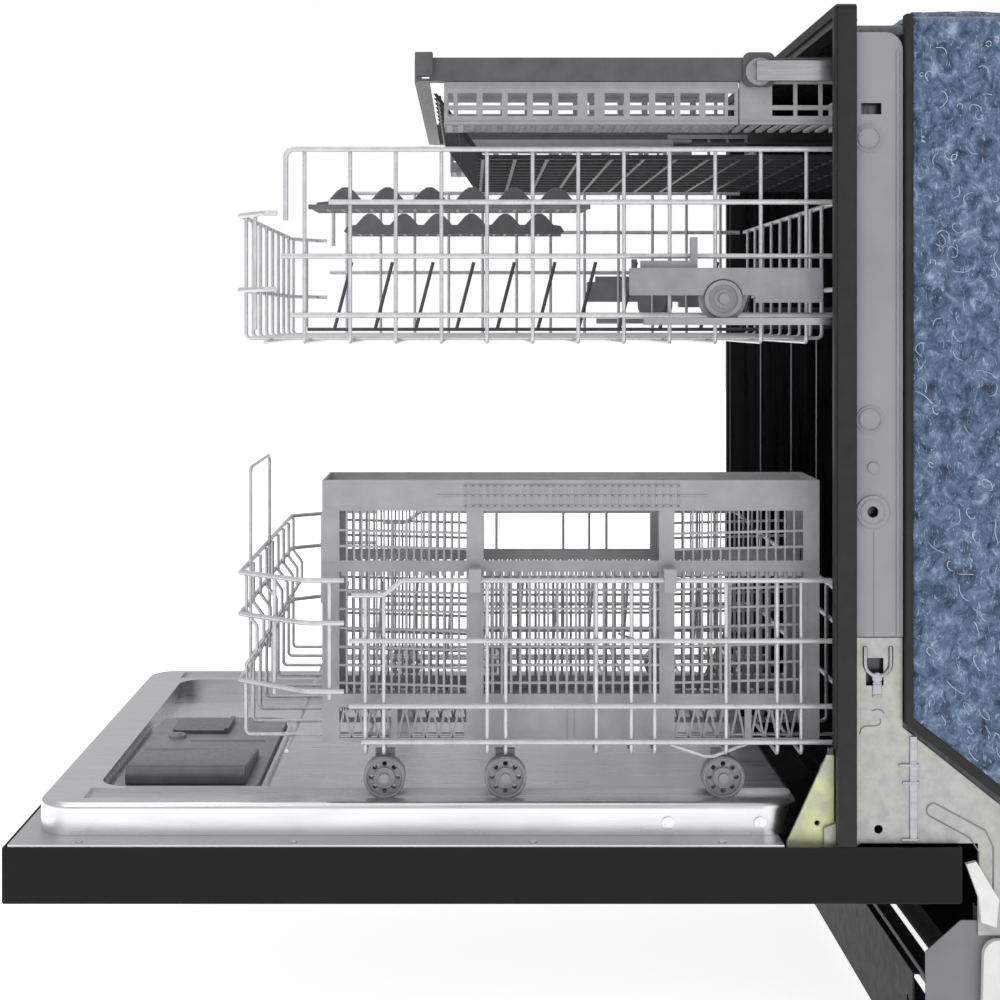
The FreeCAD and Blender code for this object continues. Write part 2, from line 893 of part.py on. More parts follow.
def make_control_panel():
    """The fascia across the top of the door front, with a window and two button holes."""
    points = [(-288, -650), (288, -650), (288, -576), (-288, -576)]
    body = plate("fascia", "XY_Plane", 148.3, 2.5, points)
    add_box(body, "XY_Plane", 147, 3, -285.5, 285.5, -647.5, -578.5)
    cut_holes(body, "XY_Plane", 160, 20, [(-240, -613, 9.3), (240, -613, 9.3)])
    cut_box(body, "XY_Plane", 148, 8, -60, 60, -630, -596)
    return finish("control_panel", body)


def make_button(label, x):
    cap = cylinder(x, -613, 147.2, 9, 6)
    collar = cylinder(x, -613, 151.2, 11.5, 2)
    return finish(label, fused([cap, collar]))


def make_handle_pocket():
    """The recessed grip below the control panel."""
    points = [(-152, -572), (152, -572), (152, -518), (-152, -518)]
    body = plate("grip", "XY_Plane", 148.4, 24, points)
    cut_box(body, "XY_Plane", 170, 30, -146, 146, -566, -524)
    return finish("handle_pocket", body)


def make_door_flange():
    """The steel frame that closes the outer door round the liner."""
    wide = half_width - 1.5
    body = plate(
        "flange",
        "XY_Plane",
        door_deck + 0.1,
        1.8,
        [(-wide, -655), (wide, -655), (wide, -42), (-wide, -42)],
    )
    cut_box(body, "XY_Plane", 200, 10, -255, 255, -624, -54)
    return finish("door_flange", body)


def liner_outline(body, level, inset):
    """The inner door's outline at one level, drawn in by inset."""
    sketch = new_sketch(body, "XY_Plane", level)
    rounded_rectangle(
        sketch,
        -liner_half + inset,
        liner_half - inset,
        -liner_far + inset,
        -liner_near - inset,
        liner_corner - inset,
    )
    return sketch


def add_sunk_outline(sketch, outset):
    """The sunk middle of the inner door, drawn out by outset."""
    rounded_rectangle(
        sketch,
        -sunk_half - outset,
        sunk_half + outset,
        -sunk_far - outset,
        -sunk_near + outset,
        sunk_corner + outset,
    )


def make_door_liner():
    """The pressed pan of the inner door, hollow underneath, with two wheel tracks."""
    body = new_body("liner")
    deck = door_deck + 2
    above = liner_top + 1
    pad(body, liner_outline(body, deck, 0), liner_top - deck)
    round_edges(body, 5, lambda e: is_level(e, liner_top))
    sketch = new_sketch(body, "XY_Plane", above)
    add_sunk_outline(sketch, 0)
    pocket(body, sketch, above - liner_floor)
    for low, high in ((226, 257), (-257, -226)):
        cut_box(body, "XY_Plane", above, above - track_level, low, high, -604, 0)
    # Underneath: a step below the whole pan, then a deeper ring round the sunk floor.
    skin = liner_sheet
    level = liner_floor - skin
    pocket(body, liner_outline(body, deck, skin), level - deck, forward=True)
    sketch = liner_outline(body, level, skin)
    add_sunk_outline(sketch, skin)
    pocket(body, sketch, track_level - skin - level, forward=True)
    return finish("door_liner", body)


def is_level(edge, height):
    return all(abs(v.Point.z - number(height)) < 0.01 for v in edge.Vertexes)


def make_dispenser():
    """The detergent unit sunk in the liner: two wells, each with its own lid on top."""
    points = [(-62, -592), (206, -592), (206, -470), (-62, -470)]
    body = plate("dispenser", "XY_Plane", liner_floor + 0.1, 9, points)
    round_edges(body, 16, lambda e: runs_along(e, 2))
    cut_box(body, "XY_Plane", 207, 20, 104, 190, -578, -484, forward=True)
    cut_holes(body, "XY_Plane", 207, 20, [(-18, -548, 22)], forward=True)
    return finish("dispenser_housing", body)


def make_detergent_lid():
    """The sliding lid, thick at one end, that covers the powder well."""
    side = [(98, 214.4), (196, 214.4), (196, 219), (176, 226), (98, 222)]
    body = plate("lid", "XZ_Plane", 480, 102, side)
    round_edges(body, 20, lambda e: runs_along(e, 2) and e.Length > 3)
    return finish("detergent_lid", body)


def make_rinse_lid():
    """The hinged flap over the rinse-aid filler."""
    body = plate(
        "flap",
        "XY_Plane",
        214.5,
        3,
        [(-44, -574), (8, -574), (8, -522), (-44, -522)],
    )
    round_edges(body, 10, lambda e: runs_along(e, 2) and e.Vertexes[0].Point.y < -560)
    add_box(body, "YZ_Plane", -44, 52, -524, -520, 215, 219.5)
    return finish("rinse_aid_lid", body)


def make_latch():
    """The catch plate in the middle of the door's top edge."""
    body = plate(
        "latch", "XY_Plane", 194.0, 1.5, [(-24, -654), (24, -654), (24, -643), (-24, -643)]
    )
    cut_box(body, "XY_Plane", 200, 10, -14, 14, -651, -646)
    return finish("door_latch", body)


def make_door_screws():
    """Domed screws along the flange and round ones in the liner's side walls."""
    screws = []
    for x in (-290, 290):
        for y in (-600, -430, -240, -90):
            screws.append(cylinder(x, y, 194.0, 3, 1.2))
    for y in (-131, -57):
        screws.append(cylinder(liner_half + 0.02, y, 204, 5, 1.5, ALONG_X))
        screws.append(cylinder(-liner_half - 1.52, y, 204, 5, 1.5, ALONG_X))
    return finish("door_screws", group(screws))


def make_corner_blocks():
    """The dark rubber block each side where the liner meets the trim."""
    block_near = block(260, 279, -12, 12, 197, 208)
    return finish("corner_blocks", pair(block_near))


def make_door_springs():
    """The balance springs along the base, drawn as plain sleeves."""
    spring = cut(
        cylinder(293, 190, 52, 4.4, 200, ALONG_Y), cylinder(293, 180, 52, 3, 220, ALONG_Y)
    )
    return finish("door_springs", pair(spring))


def make_spring_guides():
    """The bent link from each hinge arm and the pulley block its cord runs round."""
    link = plate(
        "link",
        "YZ_Plane",
        291.4,
        4.5,
        [(114, 132), (126, 128), (128, 150), (110, 180), (102, 178), (112.5, 150)],
    )
    pulley = plate(
        "pulley",
        "YZ_Plane",
        290.4,
        6.6,
        [(114, 40), (150, 40), (152, 100), (140, 118), (116, 118)],
    )
    round_edges(pulley, 12, lambda e: runs_along(e, 0) and e.Vertexes[0].Point.z > 90)
    return finish("spring_guides", group([link, mirrored(link), pulley, mirrored(pulley)]))


def make_brackets():
    """The two tabs on top that screw up into the worktop."""
    body = plate(
        "bracket",
        "XY_Plane",
        trim_top + 0.1,
        1,
        [
            (bracket_span - 14, 1),
            (bracket_span + 14, 1),
            (bracket_span + 14, 34),
            (bracket_span - 14, 34),
        ],
    )
    cut_holes(body, "XY_Plane", 870, 20, [(bracket_span, 24, 2.5)])
    return finish("worktop_brackets", pair(body))


# ---------------------------------------------------------------- lower rack


LOWER_POSTS = (-375, -360, -276, -261, -187.5, -159, -140, -82, -40.5, -21)
LOWER_LONG = spread(-200.0, 200.0, 9)
WHEELS_AT = (-360, -261, -83, 14)


def lower_rails():
    rim = number(lower_rim)
    back = number(lower_back) - 5
    return [
        [(-386, rim - 12), (-360, rim - 12), (-345, rim), (back - 16, rim), (back, rim - 14)],
        [(-388, 348), (back, 348)],
        [(-388, 295), (back, 295)],
        [(-378, 266), (back, 266)],
    ]


def lower_sides():
    rim = number(lower_rim)
    posts = [(y, rim - 12 if y < -350 else rim) for y in LOWER_POSTS]
    side = rack_side(number(lower_side), lower_rails(), posts, number(lower_floor))
    return [side, mirror_shape(side)]


def kinked_post(x, y, top, floor_level, toward):
    """An end post with a six-sided kink half way down, turned in at the floor."""
    light = number(fine_wire)
    points = [
        (x, y, top),
        (x, y, 362),
        (x, y + 9 * toward, 350),
        (x, y + 9 * toward, 330),
        (x, y, 318),
        (x, y, floor_level),
        (x, y + 9 * toward, floor_level),
    ]
    return rod(points, light, 5.0)


def inside_of(start, end):
    """Where a light post is welded inside the middle of a heavy wire, seen from above."""
    run_x = end[0] - start[0]
    run_y = end[1] - start[1]
    reach = (number(main_wire) + number(fine_wire) - WELD) / math.hypot(run_x, run_y)
    return (start[0] + end[0]) / 2 + run_y * reach, (start[1] + end[1]) / 2 - run_x * reach


def lower_ends():
    heavy = number(main_wire)
    light = number(fine_wire)
    rim = number(lower_rim)
    front = number(lower_front)
    back = number(lower_back)
    above = number(lower_floor) + 2 * light - WELD
    front_post = front + heavy + light - WELD
    back_post = back - heavy - light + WELD
    straight = 214.0
    rods = [rod([(-straight, front, z), (straight, front, z)], heavy) for z in (rim, 362.5, 307)]
    rods += [kinked_post(x, front_post, rim, above, 1) for x in LOWER_LONG]
    loop_at = front + heavy + light - WELD
    rods.append(
        rod(
            [(27, loop_at, 300), (27, loop_at, 481), (171, loop_at, 481), (171, loop_at, 300)],
            light,
        )
    )
    front_grid = welded(rods)
    rods = [rod([(-250, back, z), (250, back, z)], heavy) for z in (rim - 20, 348, 295)]
    for x in LOWER_LONG:
        points = [(x, back_post, rim - 20), (x, back_post, above), (x, back_post - 9, above)]
        rods.append(rod(points, light, 6.0))
    back_grid = welded(rods)
    side = number(lower_side)
    corner_rods = []
    for z in (rim, 362.5, 307):
        points = [
            (side, -392, z),
            (side, -424, z),
            (straight + GAP, front, z),
        ]
        corner_rods.append(rod(points, heavy, 20.0))
    posts = [(side - heavy - light + WELD, -404), inside_of((side, -424), (straight, front))]
    for x, y in posts:
        corner_rods.append(rod([(x, y, rim), (x, y, 300)], light))
    corner = welded(corner_rods)
    return [front_grid, back_grid, corner, mirror_shape(corner)]


def lower_bottom():
    light = number(fine_wire)
    front = number(lower_front) + number(main_wire) + light - WELD + 9 + GAP
    back = number(lower_back) - number(main_wire) - light + WELD - 9 - GAP
    cross = [-440.0, *LOWER_POSTS]
    level = number(lower_floor)
    return rack_floor(number(lower_side), front, back, level, cross, LOWER_LONG)


def make_lower_frame():
    """The lower rack's wire frame: flat grids that meet at the edges."""
    grids = [*lower_sides(), *lower_ends(), lower_bottom()]
    return finish("lower_rack_frame", computed(Part.makeCompound(grids)))


def make_wheel_carriers():
    """A bracket under the floor wires for each wheel, with the axle pin that it turns on."""
    pieces = []
    for y in WHEELS_AT:
        leg = block(wheel_side - 14, wheel_side - 9, y - 8, y + 8, 227, 254.2)
        axle = cylinder(wheel_side - 10, y, wheel_axle_up, 4, 19, ALONG_X)
        carrier = fused([leg, axle])
        pieces += [carrier, mirrored(carrier)]
    return finish("wheel_carriers", group(pieces))


def make_wheels():
    """Each pair of wheels: a rim with eight slots round a hub, one wheel on either side."""
    for place_in_row, y in enumerate(WHEELS_AT, 1):
        body = new_body("wheel")
        sketch = new_sketch(body, "YZ_Plane", wheel_side - 6)
        circle(sketch, 0, 0, wheel_radius)
        circle(sketch, 0, 0, 4.08)
        pad(body, sketch, 12)
        sketch = new_sketch(body, "YZ_Plane", wheel_side + 6)
        circle(sketch, 0, 0, 14.5)
        circle(sketch, 0, 0, 7.5)
        pocket(body, sketch, 3)
        sketch = new_sketch(body, "YZ_Plane", wheel_side + 8)
        circle(sketch, 11, 0, 2)
        slot = pocket(body, sketch, 30)
        pattern = body.newObject("PartDesign::PolarPattern", "slots")
        pattern.Originals = [slot]
        pattern.Axis = (sketch, ["N_Axis"])
        pattern.Angle = 360
        pattern.Occurrences = 8
        body.Tip = pattern
        doc.recompute()
        place(body, 0, y, wheel_axle_up)
        finish(f"wheel_pair_{place_in_row}", pair(body))


def make_lower_tines():
    """A row of folding plate tines on their own rod."""
    light = number(fine_wire)
    level = number(lower_floor) + 4 * light + 3
    rods = [rod([(-100, -440, level), (-100, -10, level)], light)]
    for y in spread(-420.0, -30.0, 12):
        rods.append(rod([(-100, y, level), (-100, y + 6, level + 78)], light))
    return finish("lower_tine_row", computed(welded(rods)))


def make_cutlery_basket():
    """The long basket: two long walls, two ends, a floor and two dividers, snapped together."""
    wall = 2.4
    floor_low = basket_foot + 25.5
    windows = []
    columns = ((-396, -293), (-279, -134), (-122, -17))
    for low_y, high_y in columns:
        across = 5 if high_y - low_y > 120 else 4
        for low_z, high_z, up in ((304, 400, 4), (412, 452, 2)):
            windows += rib_windows(low_y, high_y, low_z, high_z, across, up)
    for low_y in spread(-402.0, -38.0, 11):
        windows.append(block(basket_inner - 5, basket_outer + 5, low_y, low_y + 22, 255, 284))
    cutter = group(windows)
    walls = []
    for low_x in (basket_inner, basket_outer - wall):
        panel = block(low_x, low_x + wall, basket_front, basket_back, basket_foot, basket_top)
        walls.append(cut(panel, cutter))
    low_x = basket_inner + wall + GAP
    high_x = basket_outer - wall - GAP
    ends = []
    for low_y in (basket_front, basket_back - wall):
        ends.append(block(low_x, high_x, low_y, low_y + wall, basket_foot, basket_top))
    low_y = basket_front + wall + GAP
    high_y = basket_back - wall - GAP
    floor = block(low_x, high_x, low_y, high_y, floor_low, floor_low + 2.5)
    dividers = []
    for y in (-286, -128):
        dividers.append(block(low_x, high_x, y - 1.2, y + 1.2, floor_low + 2.5 + GAP, 446))
    clips = [clip_over_rim(y) for y in (-286, -128)]
    return finish("cutlery_basket", group([*walls, *ends, floor, *dividers, *clips]))


def rib_windows(low_y, high_y, low_z, high_z, across, up):
    """One window cut through both long walls as cells, which leaves the ribs between them."""
    rib = 3.0
    cell_y = (high_y - low_y + rib) / across
    cell_z = (high_z - low_z + rib) / up
    cells = []
    for i in range(across):
        for j in range(up):
            y = low_y + i * cell_y
            z = low_z + j * cell_z
            cells.append(
                block(basket_inner - 5, basket_outer + 5, y, y + cell_y - rib, z, z + cell_z - rib)
            )
    return cells


def clip_over_rim(y):
    """The hook that hangs the basket on the rack's rim wire."""
    top = block(basket_outer + GAP, 265, y - 5, y + 5, 400, 405)
    lip = block(262.8, 265, y - 5, y + 5, 388, 405)
    return fused([top, lip])


# ---------------------------------------------------------------- upper rack

UPPER_POSTS = spread(-425.0, -15.5, 12)
UPPER_LONG = spread(-200.0, 200.0, 9)


def upper_sides():
    rim = number(upper_rim)
    back = number(upper_back) - 4
    rails = [
        [(-440, 689), (-440, rim), (back, rim)],
        [(-405, 704), (back, 704)],
        [(-444, 660), (back, 660)],
        [(-436, 612), (back, 612)],
    ]
    posts = [(y, rim) for y in UPPER_POSTS]
    side = rack_side(number(upper_side), rails, posts, number(upper_floor))
    return [side, mirror_shape(side)]


def upper_ends():
    heavy = number(main_wire)
    light = number(fine_wire)
    front = number(upper_front)
    back = number(upper_back)
    above = number(upper_floor) + 2 * light - WELD
    front_post = front + heavy + light - WELD
    back_post = back - heavy - light + WELD
    straight = 214.0
    rods = [rod([(-straight, front, z), (straight, front, z)], heavy) for z in (695, 633)]
    for x in UPPER_LONG:
        points = [(x, front_post, 695), (x, front_post, above), (x, front_post + 9, above)]
        rods.append(rod(points, light, 6.0))
    front_grid = welded(rods)
    rods = [rod([(-244, back, z), (244, back, z)], heavy) for z in (704, 633)]
    for x in UPPER_LONG:
        points = [(x, back_post, 704), (x, back_post, above), (x, back_post - 9, above)]
        rods.append(rod(points, light, 6.0))
    back_grid = welded(rods)
    side = number(upper_side)
    corner_rods = []
    for z in (695, 633):
        points = [(side, -447, z), (side, -458, z), (straight + GAP, front, z)]
        corner_rods.append(rod(points, heavy, 12.0))
    x, y = inside_of((side, -458), (straight, front))
    corner_rods.append(rod([(x, y, 695), (x, y, 600)], light))
    corner = welded(corner_rods)
    return [front_grid, back_grid, corner, mirror_shape(corner)]


def upper_bottom():
    light = number(fine_wire)
    front = number(upper_front) + number(main_wire) + light - WELD + 9 + GAP
    back = number(upper_back) - number(main_wire) - light + WELD - 9 - GAP
    cross = [-458.0, *UPPER_POSTS]
    level = number(upper_floor)
    return rack_floor(number(upper_side), front, back, level, cross, UPPER_LONG)


def make_upper_frame():
    """The upper rack's wire frame, made like the lower one."""
    grids = [*upper_sides(), *upper_ends(), upper_bottom()]
    return finish("upper_rack_frame", computed(Part.makeCompound(grids)))


def make_upper_tines():
    light = number(fine_wire)
    level = number(upper_floor) + 4 * light + 3
    rods = [rod([(60, -440, level), (60, -20, level)], light)]
    for y in spread(-415.0, -40.0, 11):
        rods.append(rod([(60, y, level), (60, y + 16, level + 62)], light))
    return finish("upper_tine_row", computed(welded(rods)))


def make_adjusters():
    """The height adjuster on each side of the upper rack, with its roller pin and lever."""
    points = [(-161, 628), (-60, 628), (-60, 622), (-6, 622), (-6, 650), (-161, 650)]
    body = plate("adjuster", "YZ_Plane", 258, 10, points)
    round_edges(body, 1.5, lambda e: runs_along(e, 0))
    sketch = new_sketch(body, "YZ_Plane", 258)
    circle(sketch, -86, 625, 19)
    pad(body, sketch, 5)
    sketch = new_sketch(body, "YZ_Plane", 260)
    circle(sketch, -86, 625, 4)
    pad(body, sketch, 14)
    sketch = new_sketch(body, "YZ_Plane", 263.2)
    circle(sketch, -86, 625, 16)
    circle(sketch, -86, 625, 4)
    pocket(body, sketch, 20, forward=True)
    outline = [(-152, 650.1), (-106, 650.1), (-106, 675), (-112, 675), (-112, 656), (-152, 656)]
    lever = plate("lever", "YZ_Plane", 259, 4, outline)
    pieces = [body, mirrored(body), lever, mirrored(lever)]
    return finish("height_adjusters", group(pieces))


def make_roller(label, y, z, radius, low_x, width, bore):
    body = new_body("roller")
    sketch = new_sketch(body, "YZ_Plane", low_x)
    circle(sketch, 0, 0, radius)
    circle(sketch, 0, 0, bore)
    pad(body, sketch, width)
    sketch = new_sketch(body, "YZ_Plane", low_x + width)
    circle(sketch, 0, 0, radius * 0.78)
    circle(sketch, 0, 0, radius * 0.5)
    pocket(body, sketch, 2)
    place(body, 0, y, z)
    return finish(label, pair(body))


def make_cup_shelf(label, side):
    """A scalloped shelf that folds up against the rack's side."""
    wide = 64
    low, high = -424, -190
    base = block(0, wide, low, high, 0, 3)
    waves = []
    for y in spread(low + 29.0, high - 29.0, 4):
        waves.append(cylinder(wide + 8, y, -2, 26, 8))
    shelf = cut(base, group(waves))
    rail = block(0, 5, low, high, -4, 4)
    rim = block(wide / 2 - 2, wide / 2 + 2, low + 4, high - 4, 2, 12)
    whole = fused([shelf, rail, rim])
    if side > 0:
        whole.Placement = Placement(Vector(244, 0, 703), Rotation(Vector(0, 0, 1), 0))
        flipped = mirrored(whole)
        return finish(label, turned(flipped, 244))
    whole.Placement = Placement(Vector(-244, 0, 703), Rotation())
    return finish(label, whole)


def turned(flipped, side):
    """Moves a mirrored shelf, which the mirror left on the other side, to its own side."""
    flipped.Placement = Placement(Vector(2 * side, 0, 0), Rotation())
    return flipped


def rail(low_x, low_z, high_z):
    """A fixed channel on the tub wall that a telescopic slide runs in."""
    outer = tub_half - tub_wall - 0.1
    body = new_body("rail")
    sketch = new_sketch(body, "XZ_Plane", -530)
    outline(
        sketch,
        [
            (low_x, low_z),
            (outer, low_z),
            (outer, high_z),
            (low_x, high_z),
            (low_x, high_z - 3),
            (outer - 1.5, high_z - 3),
            (outer - 1.5, low_z + 3),
            (low_x, low_z + 3),
        ],
    )
    pad(body, sketch, 500)
    return body


def make_rack_rails():
    upper = rail(274.6, 598, 622)
    third = rail(275.6, 796, 820)
    return finish("rack_rails", group([pair(upper), pair(third)]))


def make_telescopes(label, low_x, high_x, low_y, high_y, low_z, high_z):
    """The middle member of each telescopic slide, which travels half as far as the rack."""
    bar = block(low_x, high_x, low_y, high_y, low_z, high_z)
    return finish(label, pair(bar))


# ---------------------------------------------------------------- third rack


def make_third_frame():
    """The band round the cutlery tray at the top: four rails with a ledge inside."""
    section = [(0, 0), (12, 0), (12, 2), (3, 2), (3, 19), (0, 19)]
    low_z = third_rim - 19
    rails = []
    for low_y, turn in ((third_front, 1), (third_back, -1)):
        points = [(low_y + a * turn, low_z + b) for a, b in section]
        across = plate("band", "YZ_Plane", -third_half, third_half * 2, points)
        round_edges(across, 10, lambda e: runs_along(e, 2) and e.Length > 18)
        rails.append(across)
    points = [(third_half - a, low_z + b) for a, b in section]
    depth = third_back - third_front - 24 - GAP * 2
    along = plate("side_rail", "XZ_Plane", 12 + GAP - third_back, depth, points)
    return finish("third_rack_frame", group([*rails, pair(along), pair(third_carrier())]))


def make_third_trays():
    """A slotted side tray under the band on either side: a floor between two walls."""
    low_y, high_y = -311, -73
    floor = block(201 + GAP, 259 - GAP, low_y, high_y, 766, 769)
    pitch = 20
    count = 11
    walls = []
    for low_x in (198, 259):
        points = [(low_y, 766), (high_y, 766), (high_y, 800.6), (low_y, 800.6)]
        body = plate("tray_wall", "YZ_Plane", low_x, 3, points)
        sketch = new_sketch(body, "YZ_Plane", low_x - 4)
        for row_low, row_high in ((773, 781), (785, 794)):
            rectangle(sketch, low_y + 9, low_y + 9 + pitch - 5, row_low, row_high)
        slots = pocket(body, sketch, 12, forward=True)
        pattern = body.newObject("PartDesign::LinearPattern", "windows")
        pattern.Originals = [slots]
        pattern.Direction = (sketch, ["H_Axis"])
        pattern.Length = pitch * (count - 1)
        pattern.Occurrences = count
        body.Tip = pattern
        doc.recompute()
        walls.append(body)
    tray = group([floor, *walls])
    return finish("third_rack_trays", group([tray, mirrored(tray)]))


def make_third_lattice():
    """The sunk middle floor of the tray: a lattice of ribs with a slanted front."""
    low_y = number(third_front) + 14
    high_y = number(third_back) - 14
    half = 194
    pieces = []
    for x in spread(-half + 2.0, half - 2.0, 13):
        pieces.append(Part.makeBox(3, high_y - low_y - 40, 4, Vector(x - 1.5, low_y + 40, 744)))
        slant = [
            Vector(x - 1.5, low_y, 800),
            Vector(x - 1.5, low_y + 3, 800),
            Vector(x - 1.5, low_y + 42, 748),
            Vector(x - 1.5, low_y + 42, 744),
            Vector(x - 1.5, low_y + 38, 744),
        ]
        slant.append(slant[0])
        pieces.append(Part.Face(Part.makePolygon(slant)).extrude(Vector(3, 0, 0)))
    for y in spread(low_y + 42.0, high_y - 3.0, 16):
        pieces.append(Part.makeBox(2 * half, 3, 4, Vector(-half, y - 1.5, 744)))
    for z, y in ((770, low_y + 22.5), (794, low_y + 4.5)):
        pieces.append(Part.makeBox(2 * half, 3.5, 4, Vector(-half, y - 1.5, z)))
    pieces.append(Part.makeBox(2 * half, 3, 56, Vector(-half, high_y - 3, 744)))
    shape = pieces[0].multiFuse(pieces[1:]).removeSplitter()
    return finish("third_rack_lattice", computed(shape))


def third_carrier():
    """The bracket each side of the third rack that holds its roller pin."""
    body = plate(
        "carrier", "YZ_Plane", 264.1, 2.4, [(-70, 796), (-44, 796), (-44, 824), (-70, 824)]
    )
    round_edges(body, 6, lambda e: runs_along(e, 0))
    sketch = new_sketch(body, "YZ_Plane", 266)
    circle(sketch, -57, 808, 3)
    pad(body, sketch, 6)
    return body


# ---------------------------------------------------------------- build and export


def make_everything():
    make_tub()
    make_front_trim()
    make_door_seal()
    make_side_frames()
    make_blanket()
    make_hinge_plates()
    make_hinge_arms()
    make_base_frame()
    make_base_tray()
    make_kick_panel()
    make_feet()
    make_sump()
    make_filter_cup()
    make_filter_plate()
    make_circulation_pump()
    make_drain_pump()
    make_inlet_valve()
    make_drain_outlet()
    make_terminal_box()
    make_spray_arms()
    make_water_feed()
    make_door_panel()
    make_control_panel()
    make_button("power_button", -240)
    make_button("start_button", 240)
    make_handle_pocket()
    make_door_flange()
    make_door_liner()
    make_dispenser()
    make_detergent_lid()
    make_rinse_lid()
    make_latch()
    make_door_screws()
    make_corner_blocks()
    make_door_springs()
    make_spring_guides()
    make_brackets()
    make_lower_frame()
    make_wheel_carriers()
    make_wheels()
    make_lower_tines()
    make_cutlery_basket()
    make_upper_frame()
    make_upper_tines()
    make_adjusters()
    make_roller("upper_rack_rollers", -86, 625, 15, 263.6, 6, 4.08)
    make_cup_shelf("cup_shelf_left", -1)
    make_cup_shelf("cup_shelf_right", 1)
    make_rack_rails()
    make_telescopes("upper_rack_slides", 264, 274.2, -150, 250, 604, 609.7)
    make_third_frame()
    make_third_trays()
    make_third_lattice()
    make_roller("third_rack_rollers", -57, 808, 11, 266.9, 4, 3.08)
    make_telescopes("third_rack_slides", 272.2, 275.2, -60, 330, 800, 816)


def check_and_export():
    doc.recompute()
    for thing in doc.Objects:
        if "Invalid" in thing.State or "Error" in thing.State:
            raise ValueError(f"{thing.Name} ({thing.Label}) failed: {thing.State}")
    for label, thing in nodes.items():
        shape = thing.Shape
        if shape.isNull() or not shape.isValid() or not shape.Solids:
            raise ValueError(f"{label} has no valid shape")
        shape.exportStep(f"parts/{label}.step")
        box = shape.BoundBox
        spans = (box.XMin, box.XMax, box.YMin, box.YMax, box.ZMin, box.ZMax)
        print(label, len(shape.Solids), "solids", [round(v, 1) for v in spans])


make_everything()
check_and_export()
print(len(nodes), "sub-parts")
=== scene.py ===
"""A built-in dishwasher with its door open flat and its three racks pulled out.

Every length is in metres, in the row's frame: +Z up, -Y out of the tub, +X the side with the cutlery basket.
"""

import math
import random

import bmesh
import bpy
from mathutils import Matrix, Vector, noise


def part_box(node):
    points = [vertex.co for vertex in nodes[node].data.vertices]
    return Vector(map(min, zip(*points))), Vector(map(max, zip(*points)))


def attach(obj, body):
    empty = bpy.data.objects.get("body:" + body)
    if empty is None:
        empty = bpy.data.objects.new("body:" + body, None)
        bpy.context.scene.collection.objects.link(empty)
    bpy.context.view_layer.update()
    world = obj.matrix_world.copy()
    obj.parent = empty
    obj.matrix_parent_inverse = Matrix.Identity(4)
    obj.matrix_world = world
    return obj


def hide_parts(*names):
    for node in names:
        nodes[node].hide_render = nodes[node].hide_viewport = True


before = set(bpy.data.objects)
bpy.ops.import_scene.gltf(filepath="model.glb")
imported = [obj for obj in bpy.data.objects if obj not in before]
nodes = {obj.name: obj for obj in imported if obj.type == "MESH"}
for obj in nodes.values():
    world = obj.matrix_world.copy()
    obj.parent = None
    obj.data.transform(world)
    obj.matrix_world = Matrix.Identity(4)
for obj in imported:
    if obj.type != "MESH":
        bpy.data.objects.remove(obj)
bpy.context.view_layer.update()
scene = bpy.context.scene
dice = random.Random(11)
MM = 0.001


# ---------------------------------------------------------------- reference places

TRIM_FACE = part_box("front_trim")[0].y  # the plane that the tub's mouth lies in


def deep(mm):
    """The y of a place so many millimetres behind the trim's face; places in front are negative."""
    return TRIM_FACE + mm * MM


def spot(x, behind, up):
    """A point from millimetres off the middle plane, behind the trim's face and above the floor."""
    return Vector((x * MM, deep(behind), up * MM))


# ---------------------------------------------------------------- camera and light


def make_camera():
    """Level, square to the side of the machine, with the view shifted down as a view camera does."""
    data = bpy.data.cameras.new("camera")
    camera = bpy.data.objects.new("camera", data)
    scene.collection.objects.link(camera)
    camera.location = spot(1700, -290, 608)
    camera.rotation_euler = (math.radians(90), 0, math.radians(90))
    data.lens = 64
    data.sensor_width = 36
    data.shift_x = 0.03
    data.shift_y = -0.18
    data.clip_start = 0.05
    scene.camera = camera


def make_lamp(name, place, target, size, power):
    data = bpy.data.lights.new(name, "AREA")
    data.shape = "RECTANGLE"
    data.size, data.size_y = size
    data.energy = power
    lamp = bpy.data.objects.new(name, data)
    scene.collection.objects.link(lamp)
    lamp.location = place
    lamp.rotation_euler = (Vector(target) - Vector(place)).to_track_quat("-Z", "Y").to_euler()


